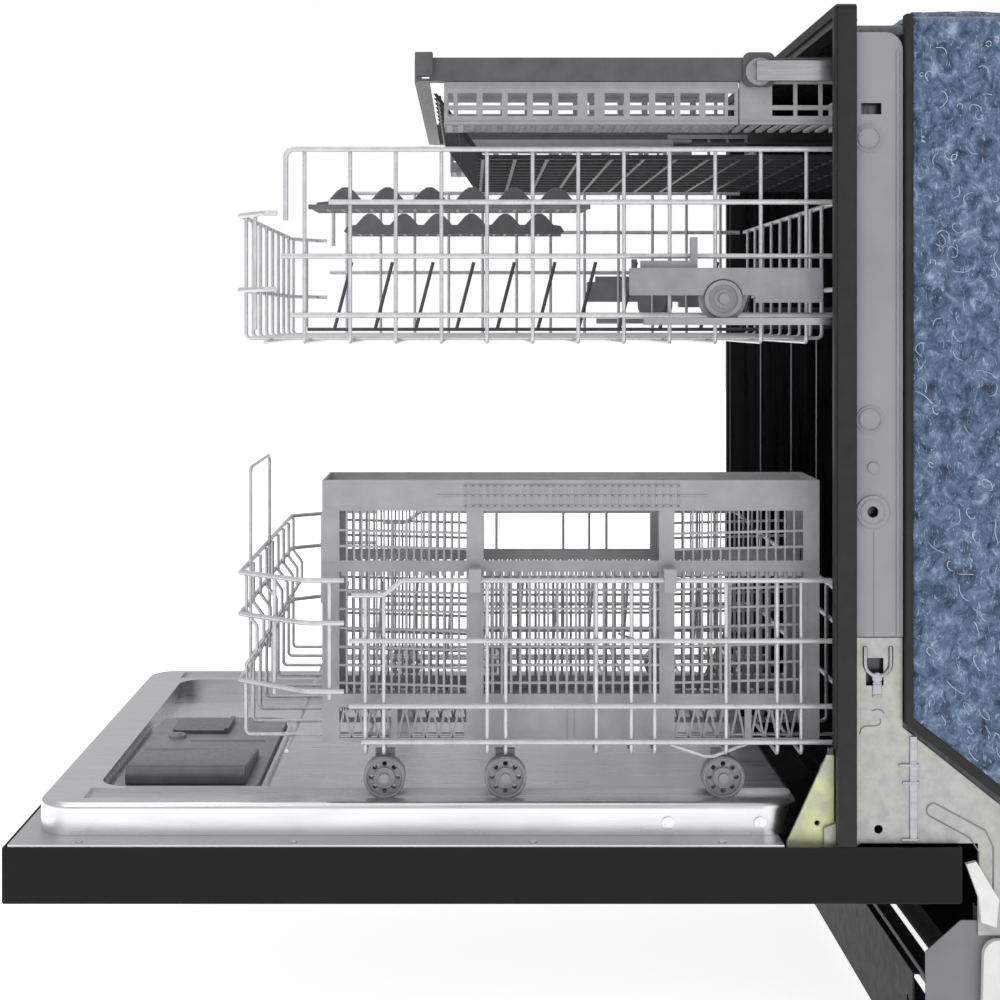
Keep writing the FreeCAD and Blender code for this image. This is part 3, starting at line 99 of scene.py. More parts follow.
def make_studio():
    """A surround and a floor that the camera sees as white, and weaker soft light on the machine."""
    world = bpy.data.worlds.new("studio")
    world.use_nodes = True
    tree = world.node_tree
    lighting = tree.nodes["Background"]
    lighting.inputs["Color"].default_value = (1, 1, 1, 1)
    lighting.inputs["Strength"].default_value = 0.62
    seen = tree.nodes.new("ShaderNodeBackground")
    seen.inputs["Color"].default_value = (1, 1, 1, 1)
    seen.inputs["Strength"].default_value = 1.0
    choice = tree.nodes.new("ShaderNodeMixShader")
    rays = tree.nodes.new("ShaderNodeLightPath")
    tree.links.new(rays.outputs["Is Camera Ray"], choice.inputs["Fac"])
    tree.links.new(lighting.outputs["Background"], choice.inputs[1])
    tree.links.new(seen.outputs["Background"], choice.inputs[2])
    tree.links.new(choice.outputs["Shader"], tree.nodes["World Output"].inputs["Surface"])
    scene.world = world
    make_lamp("key", (2.2, -1.6, 2.4), (0, -0.2, 0.4), (1.6, 1.6), 17)
    make_lamp("side", (2.6, 1.2, 1.2), (0, 0.1, 0.5), (1.2, 1.6), 9)
    make_lamp("over", (0.0, -0.5, 2.6), (0, -0.2, 0.2), (2.2, 2.2), 16)
    bpy.ops.mesh.primitive_circle_add(vertices=96, radius=14, fill_type="NGON")
    floor = bpy.context.active_object
    floor.name = "floor"
    look = bpy.data.materials.new("floor")
    look.use_nodes = True
    shader = look.node_tree.nodes["Principled BSDF"]
    shader.inputs["Base Color"].default_value = (0.9, 0.9, 0.9, 1)
    shader.inputs["Roughness"].default_value = 0.9
    shader.inputs["Specular IOR Level"].default_value = 0.1
    shader.inputs["Emission Color"].default_value = (1, 1, 1, 1)
    shader.inputs["Emission Strength"].default_value = 0.86
    floor.data.materials.append(look)
    scene.view_settings.view_transform = "Standard"


# ---------------------------------------------------------------- materials


def tone(code):
    """The linear colour of a six-digit hex code."""
    parts = [int(code[at : at + 2], 16) / 255 for at in (0, 2, 4)]
    return tuple(c / 12.92 if c < 0.04045 else ((c + 0.055) / 1.055) ** 2.4 for c in parts) + (1.0,)


class Look:
    """A principled material whose colour, roughness and relief come from procedural nodes."""

    def __init__(self, name, roughness, metallic=0.0, specular=0.5, coat=0.0, sheen=0.0):
        self.material = bpy.data.materials.new(name)
        self.material.use_nodes = True
        self.tree = self.material.node_tree
        self.shader = self.tree.nodes["Principled BSDF"]
        self.shader.inputs["Roughness"].default_value = roughness
        self.shader.inputs["Metallic"].default_value = metallic
        self.shader.inputs["Specular IOR Level"].default_value = specular
        self.shader.inputs["Coat Weight"].default_value = coat
        self.shader.inputs["Sheen Weight"].default_value = sheen
        self.place = self.tree.nodes.new("ShaderNodeTexCoord").outputs["Object"]

    def link(self, out, into):
        self.tree.links.new(out, into)

    def stretched(self, scale):
        node = self.tree.nodes.new("ShaderNodeMapping")
        node.inputs["Scale"].default_value = scale
        self.link(self.place, node.inputs["Vector"])
        return node.outputs["Vector"]

    def noise(self, scale, detail=3.0, rough=0.55, stretch=(1, 1, 1), distortion=0.0):
        node = self.tree.nodes.new("ShaderNodeTexNoise")
        node.inputs["Scale"].default_value = scale
        node.inputs["Detail"].default_value = detail
        node.inputs["Roughness"].default_value = rough
        node.inputs["Distortion"].default_value = distortion
        self.link(self.stretched(stretch), node.inputs["Vector"])
        return node.outputs["Fac"]

    def ramp(self, value, stops, linear=False):
        """Colours along a value: stops are (place, hex code) pairs, or (place, number) for a plain factor."""
        node = self.tree.nodes.new("ShaderNodeValToRGB")
        node.color_ramp.interpolation = "LINEAR"
        while len(node.color_ramp.elements) < len(stops):
            node.color_ramp.elements.new(0.5)
        for element, (at, colour) in zip(node.color_ramp.elements, stops):
            element.position = at
            element.color = (colour,) * 3 + (1.0,) if linear else tone(colour)
        self.link(value, node.inputs["Fac"])
        return node.outputs["Color"]

    def colour(self, value, stops):
        self.link(self.ramp(value, stops), self.shader.inputs["Base Color"])

    def mixed(self, factor, first, second):
        node = self.tree.nodes.new("ShaderNodeMix")
        node.data_type = "RGBA"
        self.link(factor, node.inputs["Factor"])
        self.link(first, node.inputs[6])
        self.link(second, node.inputs[7])
        return node.outputs[2]

    def rough(self, value, low, high):
        self.link(self.ramp(value, [(0.3, low), (0.7, high)], linear=True), self.shader.inputs["Roughness"])

    def relief(self, value, strength, depth):
        node = self.tree.nodes.new("ShaderNodeBump")
        node.inputs["Strength"].default_value = strength
        node.inputs["Distance"].default_value = depth
        self.link(value, node.inputs["Height"])
        into = self.shader.inputs["Normal"]
        if into.is_linked:
            self.link(into.links[0].from_socket, node.inputs["Normal"])
        self.link(node.outputs["Normal"], into)


def plastic(name, dark, light, roughness, specular=0.5, coat=0.0):
    """Moulded plastic: a slight cloudiness, a fine spark-eroded grain."""
    look = Look(name, roughness, specular=specular, coat=coat)
    look.colour(look.noise(60, 4), [(0.3, dark), (0.7, light)])
    look.rough(look.noise(220, 3), roughness - 0.05, roughness + 0.07)
    look.relief(look.noise(1400, 2), 0.12, 0.0004)
    return look.material


def sheet_metal(name, dark, light, roughness, stretch, metallic=1.0, streak=260.0):
    """Rolled or brushed sheet: fine streaks along one way in colour, gloss and relief."""
    look = Look(name, roughness, metallic=metallic)
    streaks = look.noise(streak, 5, 0.7, stretch)
    look.colour(streaks, [(0.25, dark), (0.75, light)])
    look.rough(look.noise(streak * 0.6, 4, 0.6, stretch), roughness - 0.07, roughness + 0.08)
    look.relief(streaks, 0.08, 0.0003)
    return look.material


def painted(name, dark, light, roughness, specular=0.5):
    """Sprayed paint: very slight orange peel."""
    look = Look(name, roughness, specular=specular)
    look.colour(look.noise(12, 3), [(0.3, dark), (0.7, light)])
    look.rough(look.noise(90, 3), roughness - 0.04, roughness + 0.05)
    look.relief(look.noise(700, 2), 0.05, 0.0002)
    return look.material


def coated_wire():
    look = Look("coated_wire", 0.32, metallic=0.35, coat=0.25)
    look.colour(look.noise(90, 4), [(0.3, "b4b5b8"), (0.7, "c6c7c9")])
    look.rough(look.noise(500, 3), 0.26, 0.4)
    look.relief(look.noise(900, 3), 0.15, 0.0003)
    return look.material


def galvanised(name, tint):
    """Zinc plate: soft spangle, with passivated patches scattered by a noise."""
    look = Look(name, 0.42, metallic=0.6)
    spangle = look.ramp(look.noise(120, 4, 0.6), [(0.3, "949695"), (0.7, "a6a8a7")])
    patches = look.ramp(look.noise(14, 5, 0.65), [(0.44, 0.0), (0.6, tint)], linear=True)
    passive = look.ramp(look.noise(70, 4), [(0.3, "a9ad86"), (0.7, "c3c79c")])
    look.link(look.mixed(patches, spangle, passive), look.shader.inputs["Base Color"])
    look.rough(look.noise(160, 4), 0.34, 0.52)
    look.relief(look.noise(400, 3), 0.12, 0.0003)
    return look.material


def felt():
    """Recycled cotton felt: matted blue fibres in many shades, with pale tangles."""
    look = Look("blue_felt", 0.95, specular=0.15, sheen=0.35)
    blots = look.noise(75, 8, 0.72, distortion=0.6)
    base = look.ramp(blots, [(0.34, "1d2637"), (0.44, "3d4f69"), (0.56, "5b6f8c"), (0.68, "94a2b6")])
    wisps = look.noise(190, 6, 0.7, (1, 1, 0.45), distortion=2.2)
    lint = look.ramp(wisps, [(0.56, 0.0), (0.68, 0.85)], linear=True)
    pale = look.ramp(look.noise(320, 3), [(0.3, "8c9db5"), (0.7, "c2ccd9")])
    look.link(look.mixed(lint, base, pale), look.shader.inputs["Base Color"])
    look.relief(look.noise(1100, 5, 0.7, distortion=1.5), 0.6, 0.0012)
    look.relief(blots, 0.5, 0.003)
    return look.material


def rubber(name, dark, light):
    look = Look(name, 0.62, specular=0.35)
    look.colour(look.noise(80, 4), [(0.3, dark), (0.7, light)])
    look.relief(look.noise(900, 3), 0.2, 0.0004)
    return look.material


LOOKS = {
    # Painted shade: the tub's stainless steel gets a dark colour, far darker than the same steel on the
    # door's liner, standing for the shade on the tub's walls and filter plate.
    "tub": sheet_metal("tub_steel", "3d3e41", "55565a", 0.3, (1, 1, 0.04)),
    "liner": sheet_metal("liner_steel", "cbccce", "dcdddf", 0.3, (1, 0.04, 0.3)),
    "flange": sheet_metal("flange_steel", "bdbec1", "cdced1", 0.42, (1, 0.06, 1)),
    "side_band": painted("side_band", "7f8184", "8a8c8f", 0.45),
    "bright": sheet_metal("bright_steel", "c2c3c6", "dcdde0", 0.2, (1, 1, 1), streak=500.0),
    "rail": sheet_metal("rail_steel", "8f9195", "a9abae", 0.33, (1, 0.05, 1)),
    "base_plate": painted("base_plate", "66686b", "75777a", 0.5),
    "door": painted("door_black", "121213", "171718", 0.34, specular=0.12),
    "kick": painted("kick_black", "1b1b1c", "242425", 0.5, specular=0.15),
    "trim": plastic("trim_black", "141415", "1d1d1f", 0.42, specular=0.3),
    "wire": coated_wire(),
    "hinge": galvanised("hinge_zinc", 0.22),
    "arm": galvanised("arm_zinc", 1.0),
    "felt": felt(),
    "seal": rubber("seal_rubber", "121213", "1d1d1e"),
    "basket": plastic("basket_grey", "8b8d8f", "97999b", 0.46),
    "grey": plastic("part_grey", "7b7d80", "898b8e", 0.45),
    "wheel": plastic("wheel_grey", "808285", "8e9093", 0.44),
    "dark": plastic("part_dark", "3a3b3d", "47484a", 0.42),
    "band": plastic("band_dark", "48494b", "545557", 0.45, specular=0.35),
    "tray": plastic("tray_grey", "838486", "919294", 0.47),
    "lattice": plastic("lattice_dark", "252628", "303133", 0.42, specular=0.3),
    "lid": plastic("lid_grey", "47484b", "55565a", 0.34, coat=0.15),
    "gloss": plastic("button_black", "151516", "1d1d1e", 0.16, coat=0.6),
    "white": plastic("part_white", "c9c9c7", "d6d6d4", 0.4),
    "pump": plastic("pump_dark", "2b2c2f", "36373a", 0.5),
    "shelf": plastic("shelf_dark", "595a5d", "66676a", 0.4, specular=0.35),
    "lint": rubber("blue_lint", "8fa0b8", "c4cedb"),
    "shadow": painted("pressed_shadow", "6f7073", "7d7e81", 0.5),
    # Painted shade: the tub ribs' stainless steel is coloured darker than the liner's, though a little less
    # dark than the tub's walls.
    "rib": sheet_metal("rib_steel_painted_shade", "6b6c70", "85868a", 0.3, (1, 1, 0.04)),
}

NODE_LOOKS = {
    "tub": ["tub_shell", "filter_plate"],
    "trim": ["front_trim", "base_tray"],
    "seal": ["door_seal", "corner_blocks"],
    "side_band": ["side_frames", "worktop_brackets"],
    "felt": ["insulation_blanket"],
    "hinge": ["hinge_plates"],
    "arm": ["hinge_arms"],
    "base_plate": ["base_frame"],
    "kick": ["kick_panel"],
    "dark": ["levelling_feet", "handle_pocket", "upper_tine_row", "cup_shelf_left", "cup_shelf_right"],
    "grey": [
        "sump",
        "filter_cup",
        "lower_spray_arm",
        "middle_spray_arm",
        "top_spray_arm",
        "water_feed",
        "dispenser_housing",
        "height_adjusters",
        "upper_rack_rollers",
        "third_rack_rollers",
    ],
    "pump": ["circulation_pump", "drain_pump", "terminal_box"],
    "white": ["inlet_valve", "drain_outlet", "spring_guides"],
    "door": ["door_panel", "control_panel"],
    "gloss": ["power_button", "start_button"],
    "flange": ["door_flange"],
    "liner": ["door_liner"],
    "lid": ["detergent_lid", "rinse_aid_lid"],
    "bright": ["door_latch", "door_screws", "door_springs"],
    "wire": ["lower_rack_frame", "upper_rack_frame", "lower_tine_row"],
    "wheel": ["wheel_carriers", "wheel_pair_1", "wheel_pair_2", "wheel_pair_3", "wheel_pair_4"],
    "basket": ["cutlery_basket"],
    "rail": ["rack_rails", "upper_rack_slides", "third_rack_slides"],
    "band": ["third_rack_frame"],
    "tray": ["third_rack_trays"],
    "lattice": ["third_rack_lattice"],
}


def dress_nodes():
    for look, names in NODE_LOOKS.items():
        for name in names:
            nodes[name].data.materials.clear()
            nodes[name].data.materials.append(LOOKS[look])


# ---------------------------------------------------------------- mesh tools

BOX_FACES = ((0, 1, 3, 2), (4, 6, 7, 5), (0, 4, 5, 1), (2, 3, 7, 6), (0, 2, 6, 4), (1, 5, 7, 3))


def box_into(bm, x, y, z, lean=0.0):
    """A box from its low and high x, depth and height in millimetres; lean lifts its rear end."""
    corners = []
    for at_x in x:
        for at_y in y:
            lift = lean if at_y == y[1] else 0.0
            corners += [bm.verts.new(spot(at_x, at_y, at_z + lift)) for at_z in z]
    for ring in BOX_FACES:
        bm.faces.new([corners[i] for i in ring])


def oriented(axis, along, first, second):
    """A spot from a place along an axis and the two places across it."""
    if axis == "x":
        return spot(along, first, second)
    if axis == "y":
        return spot(first, along, second)
    return spot(first, second, along)


def prism_into(bm, axis, span, outline):
    """An outline, given across the axis, drawn out along it between the two ends of span."""
    rings = [[bm.verts.new(oriented(axis, end, a, b)) for a, b in outline] for end in span]
    for ring in rings:
        bm.faces.new(ring)
    count = len(outline)
    for i in range(count):
        j = (i + 1) % count
        bm.faces.new([rings[0][i], rings[0][j], rings[1][j], rings[1][i]])


def lathe_into(bm, axis, centre, profile, steps=32):
    """A turned shape: profile is (along, radius) pairs about an axis through centre."""
    rings = []
    for along, radius in profile:
        turns = [2 * math.pi * i / steps for i in range(steps)]
        first, second = centre
        ring = [(first + radius * math.cos(a), second + radius * math.sin(a)) for a in turns]
        rings.append([bm.verts.new(oriented(axis, along, p, q)) for p, q in ring])
    for low, high in zip(rings, rings[1:]):
        for i in range(steps):
            j = (i + 1) % steps
            bm.faces.new([low[i], low[j], high[j], high[i]])
    bm.faces.new(rings[0])
    bm.faces.new(rings[-1])


def tube_into(bm, points, radius, sides=8, flat=1.0):
    """A round tube along points in metres; flat squeezes its section across the second way."""
    rings = []
    across = None
    for i, point in enumerate(points):
        ahead = points[min(i + 1, len(points) - 1)] - points[max(i - 1, 0)]
        ahead.normalize()
        if across is None:
            across = ahead.orthogonal().normalized()
        across = (across - ahead * across.dot(ahead)).normalized()
        other = ahead.cross(across)
        ring = []
        for k in range(sides):
            angle = 2 * math.pi * k / sides
            way = across * math.cos(angle) + other * math.sin(angle) * flat
            ring.append(bm.verts.new(point + way * radius))
        rings.append(ring)
    for low, high in zip(rings, rings[1:]):
        for k in range(sides):
            j = (k + 1) % sides
            bm.faces.new([low[k], low[j], high[j], high[k]])
    bm.faces.new(rings[0])
    bm.faces.new(rings[-1])


def arc(centre, radius, start, end, steps=10):
    """Points (first, second) along an arc in degrees."""
    turns = [math.radians(start + (end - start) * i / steps) for i in range(steps + 1)]
    return [(centre[0] + radius * math.cos(a), centre[1] + radius * math.sin(a)) for a in turns]


def mirror(bm):
    """Adds the same shape on the other side of the middle plane."""
    copies = bmesh.ops.duplicate(bm, geom=bm.verts[:] + bm.edges[:] + bm.faces[:])["geom"]
    for vert in [g for g in copies if isinstance(g, bmesh.types.BMVert)]:
        vert.co.x = -vert.co.x


def piece(name, fill, look, body, replaces=(), bevel=0.0, smooth=40):
    """A mesh piece that fill() draws, with its material, the body it rides on and what it stands for."""
    bm = bmesh.new()
    fill(bm)
    bmesh.ops.recalc_face_normals(bm, faces=bm.faces)
    mesh = bpy.data.meshes.new(name)
    bm.to_mesh(mesh)
    bm.free()
    thing = bpy.data.objects.new(name, mesh)
    scene.collection.objects.link(thing)
    mesh.materials.append(LOOKS[look])
    mesh.shade_smooth()
    mesh.set_sharp_from_angle(angle=math.radians(smooth))
    if bevel:
        rounding = thing.modifiers.new("rounding", "BEVEL")
        rounding.width = bevel * MM
        rounding.segments = 2
        rounding.limit_method = "ANGLE"
        rounding.harden_normals = False
    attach(thing, body)
    if replaces:
        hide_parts(*replaces)
    return thing


# ---------------------------------------------------------------- cutlery basket

BASKET_LOW, BASKET_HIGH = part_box("cutlery_basket")
BASKET_INNER = BASKET_LOW.x / MM
BASKET_OUTER = BASKET_INNER + 77
BASKET_FRONT = (BASKET_LOW.y - TRIM_FACE) / MM
BASKET_BACK = (BASKET_HIGH.y - TRIM_FACE) / MM
BASKET_FOOT = BASKET_LOW.z / MM
BASKET_TOP = BASKET_HIGH.z / MM
BASKET_WALL = 2.4
BASKET_POSTS = ((BASKET_FRONT, -397), (-293, -279), (-135, -122.5), (-17, BASKET_BACK))
DIVIDERS = (-286, -128)
FRONT_BAY, MIDDLE_BAY, REAR_BAY = (-397, -293), (-279, -135), (-122.5, -17)
RIM_FOOT = 452
MIDDLE_BAND = (402, 411)
LOWER_BAND = (291, 302)
UPPER_WINDOW = (MIDDLE_BAND[1], RIM_FOOT)
LOWER_WINDOW = (LOWER_BAND[1], MIDDLE_BAND[0])
LEVEL_BARS = (311, 325.6, 340.6, 356, 371.5, 387)


def lattice_into(bm, x, y, z, pitch, bar, levels, lean):
    """Upright bars between y and z with level bars that lean, flush with a wall at x."""
    count = round((y[1] - y[0]) / pitch)
    step = (y[1] - y[0]) / count
    inside = (x[0] + 0.5, x[1] - 0.5)
    for i in range(1, count):
        at = y[0] + i * step
        box_into(bm, inside, (at - bar / 2, at + bar / 2), z)
    for level in levels:
        box_into(bm, (x[0] + 0.2, x[1] - 0.2), y, (level - 0.9, level + 0.9), lean)


def skirt_into(bm, x, y, z):
    """The zigzag of thin struts between the basket's floor and its foot."""
    pitch = 11
    count = round((y[1] - y[0]) / pitch)
    step = (y[1] - y[0]) / count
    for i in range(count):
        left = y[0] + i * step
        for a, b in ((left, left + step / 2), (left + step, left + step / 2)):
            outline = [(a - 0.9, z[0]), (a + 0.9, z[0]), (b + 0.9, z[1]), (b - 0.9, z[1])]
            prism_into(bm, "x", (x[0] + 0.5, x[1] - 0.5), outline)


def long_wall_into(bm, low_x, outward):
    """One long wall: bands and posts round barred windows, with a grid raised on the rim's outer face."""
    x = (low_x, low_x + BASKET_WALL)
    ends = (BASKET_FRONT, BASKET_BACK)
    band = (x[0] - 0.12, x[1] + 0.12)
    box_into(bm, band, ends, (RIM_FOOT, BASKET_TOP - 2.5))
    box_into(bm, (x[0] - 0.5, x[1] + 0.5), ends, (BASKET_TOP - 2.5, BASKET_TOP))
    box_into(bm, (x[0] - 0.3, x[1] + 0.3), ends, (RIM_FOOT, RIM_FOOT + 2.2))
    box_into(bm, band, ends, MIDDLE_BAND)
    box_into(bm, (x[0] - 0.4, x[1] + 0.4), ends, (407.5, 409.3))
    box_into(bm, band, ends, LOWER_BAND)
    box_into(bm, band, ends, (BASKET_FOOT, BASKET_FOOT + 4))
    for low_y, high_y in BASKET_POSTS:
        box_into(bm, x, (low_y, high_y), (BASKET_FOOT, 453))
        box_into(bm, (x[0] - 0.3, x[1] + 0.3), (low_y + 2, low_y + 3), LOWER_WINDOW)
    lattice_into(bm, x, FRONT_BAY, UPPER_WINDOW, 6.1, 1.5, (423, 436), -2.5)
    lattice_into(bm, x, REAR_BAY, UPPER_WINDOW, 7.6, 1.3, (420, 433), 2.5)
    lattice_into(bm, x, FRONT_BAY, LOWER_WINDOW, 6.1, 1.7, LEVEL_BARS, -3)
    lattice_into(bm, x, MIDDLE_BAY, LOWER_WINDOW, 7.6, 2.1, LEVEL_BARS, 0)
    lattice_into(bm, x, REAR_BAY, LOWER_WINDOW, 7.6, 2.1, LEVEL_BARS, 3)
    for low_y, high_y in (FRONT_BAY, MIDDLE_BAY, REAR_BAY):
        count = round((high_y - low_y) / 7.6)
        for i in range(count):
            at = low_y + (i + 0.5) * (high_y - low_y) / count
            box_into(bm, (x[0] - 0.3, x[1] + 0.3), (at - 1.9, at + 1.9), (398.6, 402.2))
    for span in ((-409, -354), (-349, -293), (-122.5, -65), (-60, -17)):
        skirt_into(bm, x, span, (BASKET_FOOT + 3, 292))
    box_into(bm, (x[0] + 0.3, x[1] - 0.3), MIDDLE_BAY, (BASKET_FOOT + 3, 292))
    for at in (-352, -207.6, -62.5):
        box_into(bm, (x[0] - 0.6, x[1] + 0.6), (at - 2.6, at + 2.6), (BASKET_FOOT, LOWER_BAND[0]))
    face = x[1] if outward > 0 else x[0]
    proud = sorted((face, face + 0.9 * outward))
    for i in range(30):
        at = -293.5 + i * 6
        box_into(bm, proud, (at - 0.6, at + 0.6), (454, BASKET_TOP - 2))
    for level, reach in ((456, 0), (464.5, 22), (472.5, 0)):
        box_into(bm, proud, (-295 - reach, -118 + reach), (level - 0.5, level + 0.5))


def short_wall_into(bm, low_y):
    """One end wall, plainer than the long walls."""
    x = (BASKET_INNER + 0.25, BASKET_OUTER - 0.25)
    y = (low_y + 0.25, low_y + BASKET_WALL)
    box_into(bm, x, y, (RIM_FOOT, BASKET_TOP))
    box_into(bm, x, y, MIDDLE_BAND)
    box_into(bm, x, y, (BASKET_FOOT, LOWER_BAND[1]))
    for low_x, high_x in ((x[0], x[0] + 9), (x[1] - 9, x[1])):
        box_into(bm, (low_x, high_x), y, (LOWER_BAND[1], RIM_FOOT))
    for i in range(1, 8):
        at = x[0] + 9 + i * 7.4
        box_into(bm, (at - 0.9, at + 0.9), (y[0] + 0.4, y[1] - 0.4), (LOWER_BAND[1], RIM_FOOT))
    for level in (318, 334, 350, 366, 382, 424, 438):
        box_into(bm, x, (y[0] + 0.2, y[1] - 0.2), (level - 0.9, level + 0.9))


def basket_into(bm):
    """The four walls, a latticed floor, two dividers and the clips that hang on the rack's rim wire."""
    long_wall_into(bm, BASKET_OUTER - BASKET_WALL, 1)
    long_wall_into(bm, BASKET_INNER, -1)
    short_wall_into(bm, BASKET_FRONT)
    short_wall_into(bm, BASKET_BACK - BASKET_WALL)
    across = (BASKET_INNER + 1, BASKET_OUTER - 1)
    for low_y in range(round(BASKET_FRONT) + 5, round(BASKET_BACK) - 3, 9):
        box_into(bm, across, (low_y, low_y + 2.2), (288, 290.5))
    for i in range(9):
        at = BASKET_INNER + 6 + i * 8
        box_into(bm, (at, at + 2), (BASKET_FRONT + 1, BASKET_BACK - 1), (287.8, 290.2))
    for y in DIVIDERS:
        box_into(bm, across, (y - 1.2, y + 1.2), (291, 446))
        box_into(bm, (BASKET_OUTER + 0.1, 265), (y - 5, y + 5), (400.2, 406.6))
        box_into(bm, (262.6, 264.8), (y - 4.8, y + 4.8), (388, 400.4))


# ---------------------------------------------------------------- felt insulation

FELT_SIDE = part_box("insulation_blanket")[1].x / MM
TUB_SIDE = 283
FELT_FRONT, FELT_REAR = 55, 540
FELT_TOP = 849
FELT_CORNER = 290
SLANT_END = (140, 223)
STEEP_END = (160, 192)


def felt_low(behind):
    """The lower edge of a side pad: a slant, a steeper slant, then level along the base."""
    if behind < SLANT_END[0]:
        fall = (FELT_CORNER - SLANT_END[1]) / (SLANT_END[0] - FELT_FRONT)
        return FELT_CORNER - (behind - FELT_FRONT) * fall
    if behind < STEEP_END[0]:
        fall = (SLANT_END[1] - STEEP_END[1]) / (STEEP_END[0] - SLANT_END[0])
        return SLANT_END[1] - (behind - SLANT_END[0]) * fall
    return STEEP_END[1]


def eased(share):
    """Packs a row of places closer towards both ends, where the pad's edge turns."""
    return 0.45 * share + 0.55 * (1 - math.cos(math.pi * share)) / 2


def pad_into(bm, place, across, up, thick, seed):
    """A soft pad: a flat back, rolled edges and a lumpy face; place(u, v, height) gives its points."""
    cell, edge_radius = 7, 7
    rows, columns = round(up / cell), round(across / cell)
    faces = []
    for side in (0, 1):
        grid = []
        for j in range(rows + 1):
            v = eased(j / rows)
            line = []
            for i in range(columns + 1):
                u = eased(i / columns)
                edge = min(u * across, (1 - u) * across, v * up, (1 - v) * up)
                roll = math.sqrt(max(0.0, 1 - (1 - min(edge / edge_radius, 1)) ** 2))
                at = Vector((u * across, v * up, seed))
                lumps = 1.1 * noise.noise(at / 34) + 0.75 * noise.noise(at / 11) + 0.4 * noise.noise(at / 5)
                height = (0.35 + 0.65 * roll) * thick + lumps * roll if side else 0.0
                line.append(bm.verts.new(place(u, v, height)))
            grid.append(line)
        faces.append(grid)
        for j in range(rows):
            for i in range(columns):
                bm.faces.new([grid[j][i], grid[j][i + 1], grid[j + 1][i + 1], grid[j + 1][i]])
    back, front = faces
    border = [(0, i) for i in range(columns)] + [(j, columns) for j in range(rows)]
    border += [(rows, i) for i in range(columns, 0, -1)] + [(j, 0) for j in range(rows, 0, -1)]
    for (j, i), (q, p) in zip(border, border[1:] + border[:1]):
        bm.faces.new([back[j][i], back[q][p], front[q][p], front[j][i]])


def side_place(side):
    """The places on the right or left pad, for a side of 1 or -1."""

    def place(u, v, height):
        behind = FELT_FRONT + u * (FELT_REAR - FELT_FRONT)
        low = felt_low(behind)
        return spot(side * (TUB_SIDE + 0.5 + height), behind, low + v * (FELT_TOP - low))

    return place


def top_place(u, v, height):
    return spot(-280 + 560 * u, 60 + 476 * v, 846.6 + height)


def back_place(u, v, height):
    return spot(-278 + 556 * u, 550.6 + height, 230 + 606 * v)


# Each pad: its places, its length and height, its thickness and the seed of its lumps.
PADS = {
    "blanket_right": (side_place(1), 485, 600, 12.6, 3),
    "blanket_left": (side_place(-1), 485, 600, 12.6, 7),
    "blanket_top": (top_place, 560, 476, 8.6, 11),
    "blanket_back": (back_place, 556, 606, 5.6, 15),
}


def lint_into(bm, place, across, up, thick, count):
    """Loose threads that curl on a pad's face."""
    for _ in range(count):
        u, v = dice.uniform(0.02, 0.98), dice.uniform(0.02, 0.98)
        heading, turn = dice.uniform(0, 2 * math.pi), dice.uniform(-0.9, 0.9)
        stride = dice.uniform(1.2, 3.2)
        lift = dice.uniform(0.3, 1.0)
        points = []
        for _ in range(7):
            points.append(place(min(max(u, 0.01), 0.99), min(max(v, 0.01), 0.99), thick + lift))
            heading += turn + dice.uniform(-0.4, 0.4)
            u += stride * math.cos(heading) / across
            v += stride * math.sin(heading) / up
        tube_into(bm, points, 0.33 * MM, 4)


def border_into(bm):
    """The black tape along the front and slanting edges of a side pad, both sides."""
    outline = [(54, 850), (54, 289), (140, 222), (160, 191), (166, 191), (146, 227), (60, 294)]
    outline += [(60, 850)]
    prism_into(bm, "x", (TUB_SIDE + 3, FELT_SIDE - 0.6), outline)
    mirror(bm)


def make_felt():
    """The four pads, the threads on them and the tape round the side pads' edges."""
    for name, (place, across, up, thick, seed) in PADS.items():
        pad = piece(
            name,
            lambda bm: pad_into(bm, place, across, up, thick, seed),
            "felt",
            "chassis",
            ["insulation_blanket"],
            smooth=180,
        )

    def all_lint(bm):
        for place, across, up, thick, _ in PADS.values():
            lint_into(bm, place, across, up, thick, 520 if up > across else 200)

    piece("blanket_lint", all_lint, "lint", "chassis", smooth=180)
    piece("blanket_tape", border_into, "seal", "chassis", bevel=0.8)


# ---------------------------------------------------------------- third rack

TRAY_LOW, TRAY_HIGH = 766, 800.6
TRAY_FRONT, TRAY_BACK = -311, -73


def window_wall_into(bm, x, y, z, rows, windows):
    """A wall with windows: rows are their heights, windows are their low and high depths."""
    edges = [z[0]] + [level for row in rows for level in row] + [z[1]]
    for low, high in zip(edges[::2], edges[1::2]):
        box_into(bm, x, y, (low, high))
    stops = [y[0]] + [at for window in windows for at in window] + [y[1]]
    for low, high in rows:
        for left, right in zip(stops[::2], stops[1::2]):
            box_into(bm, x, (left, right), (low, high))
    box_into(bm, (x[0] - 0.5, x[1] + 0.5), y, (z[1] - 4.6, z[1] - 3.2))
    box_into(bm, (x[0] - 0.8, x[1] + 0.8), y, (z[0], z[0] + 2.4))


def tray_windows():
    """Five windows, a narrow slot and five more, with a small one at each end."""
    pitch, wide = 20.4, 15.5
    spans = [(-308, -303.4)]
    spans += [(-300.2 + i * pitch, -300.2 + i * pitch + wide) for i in range(5)]
    spans += [(-195, -189.4)]
    spans += [(-181 + i * pitch, -181 + i * pitch + wide) for i in range(5)]
    return spans + [(-81.3, -76)]


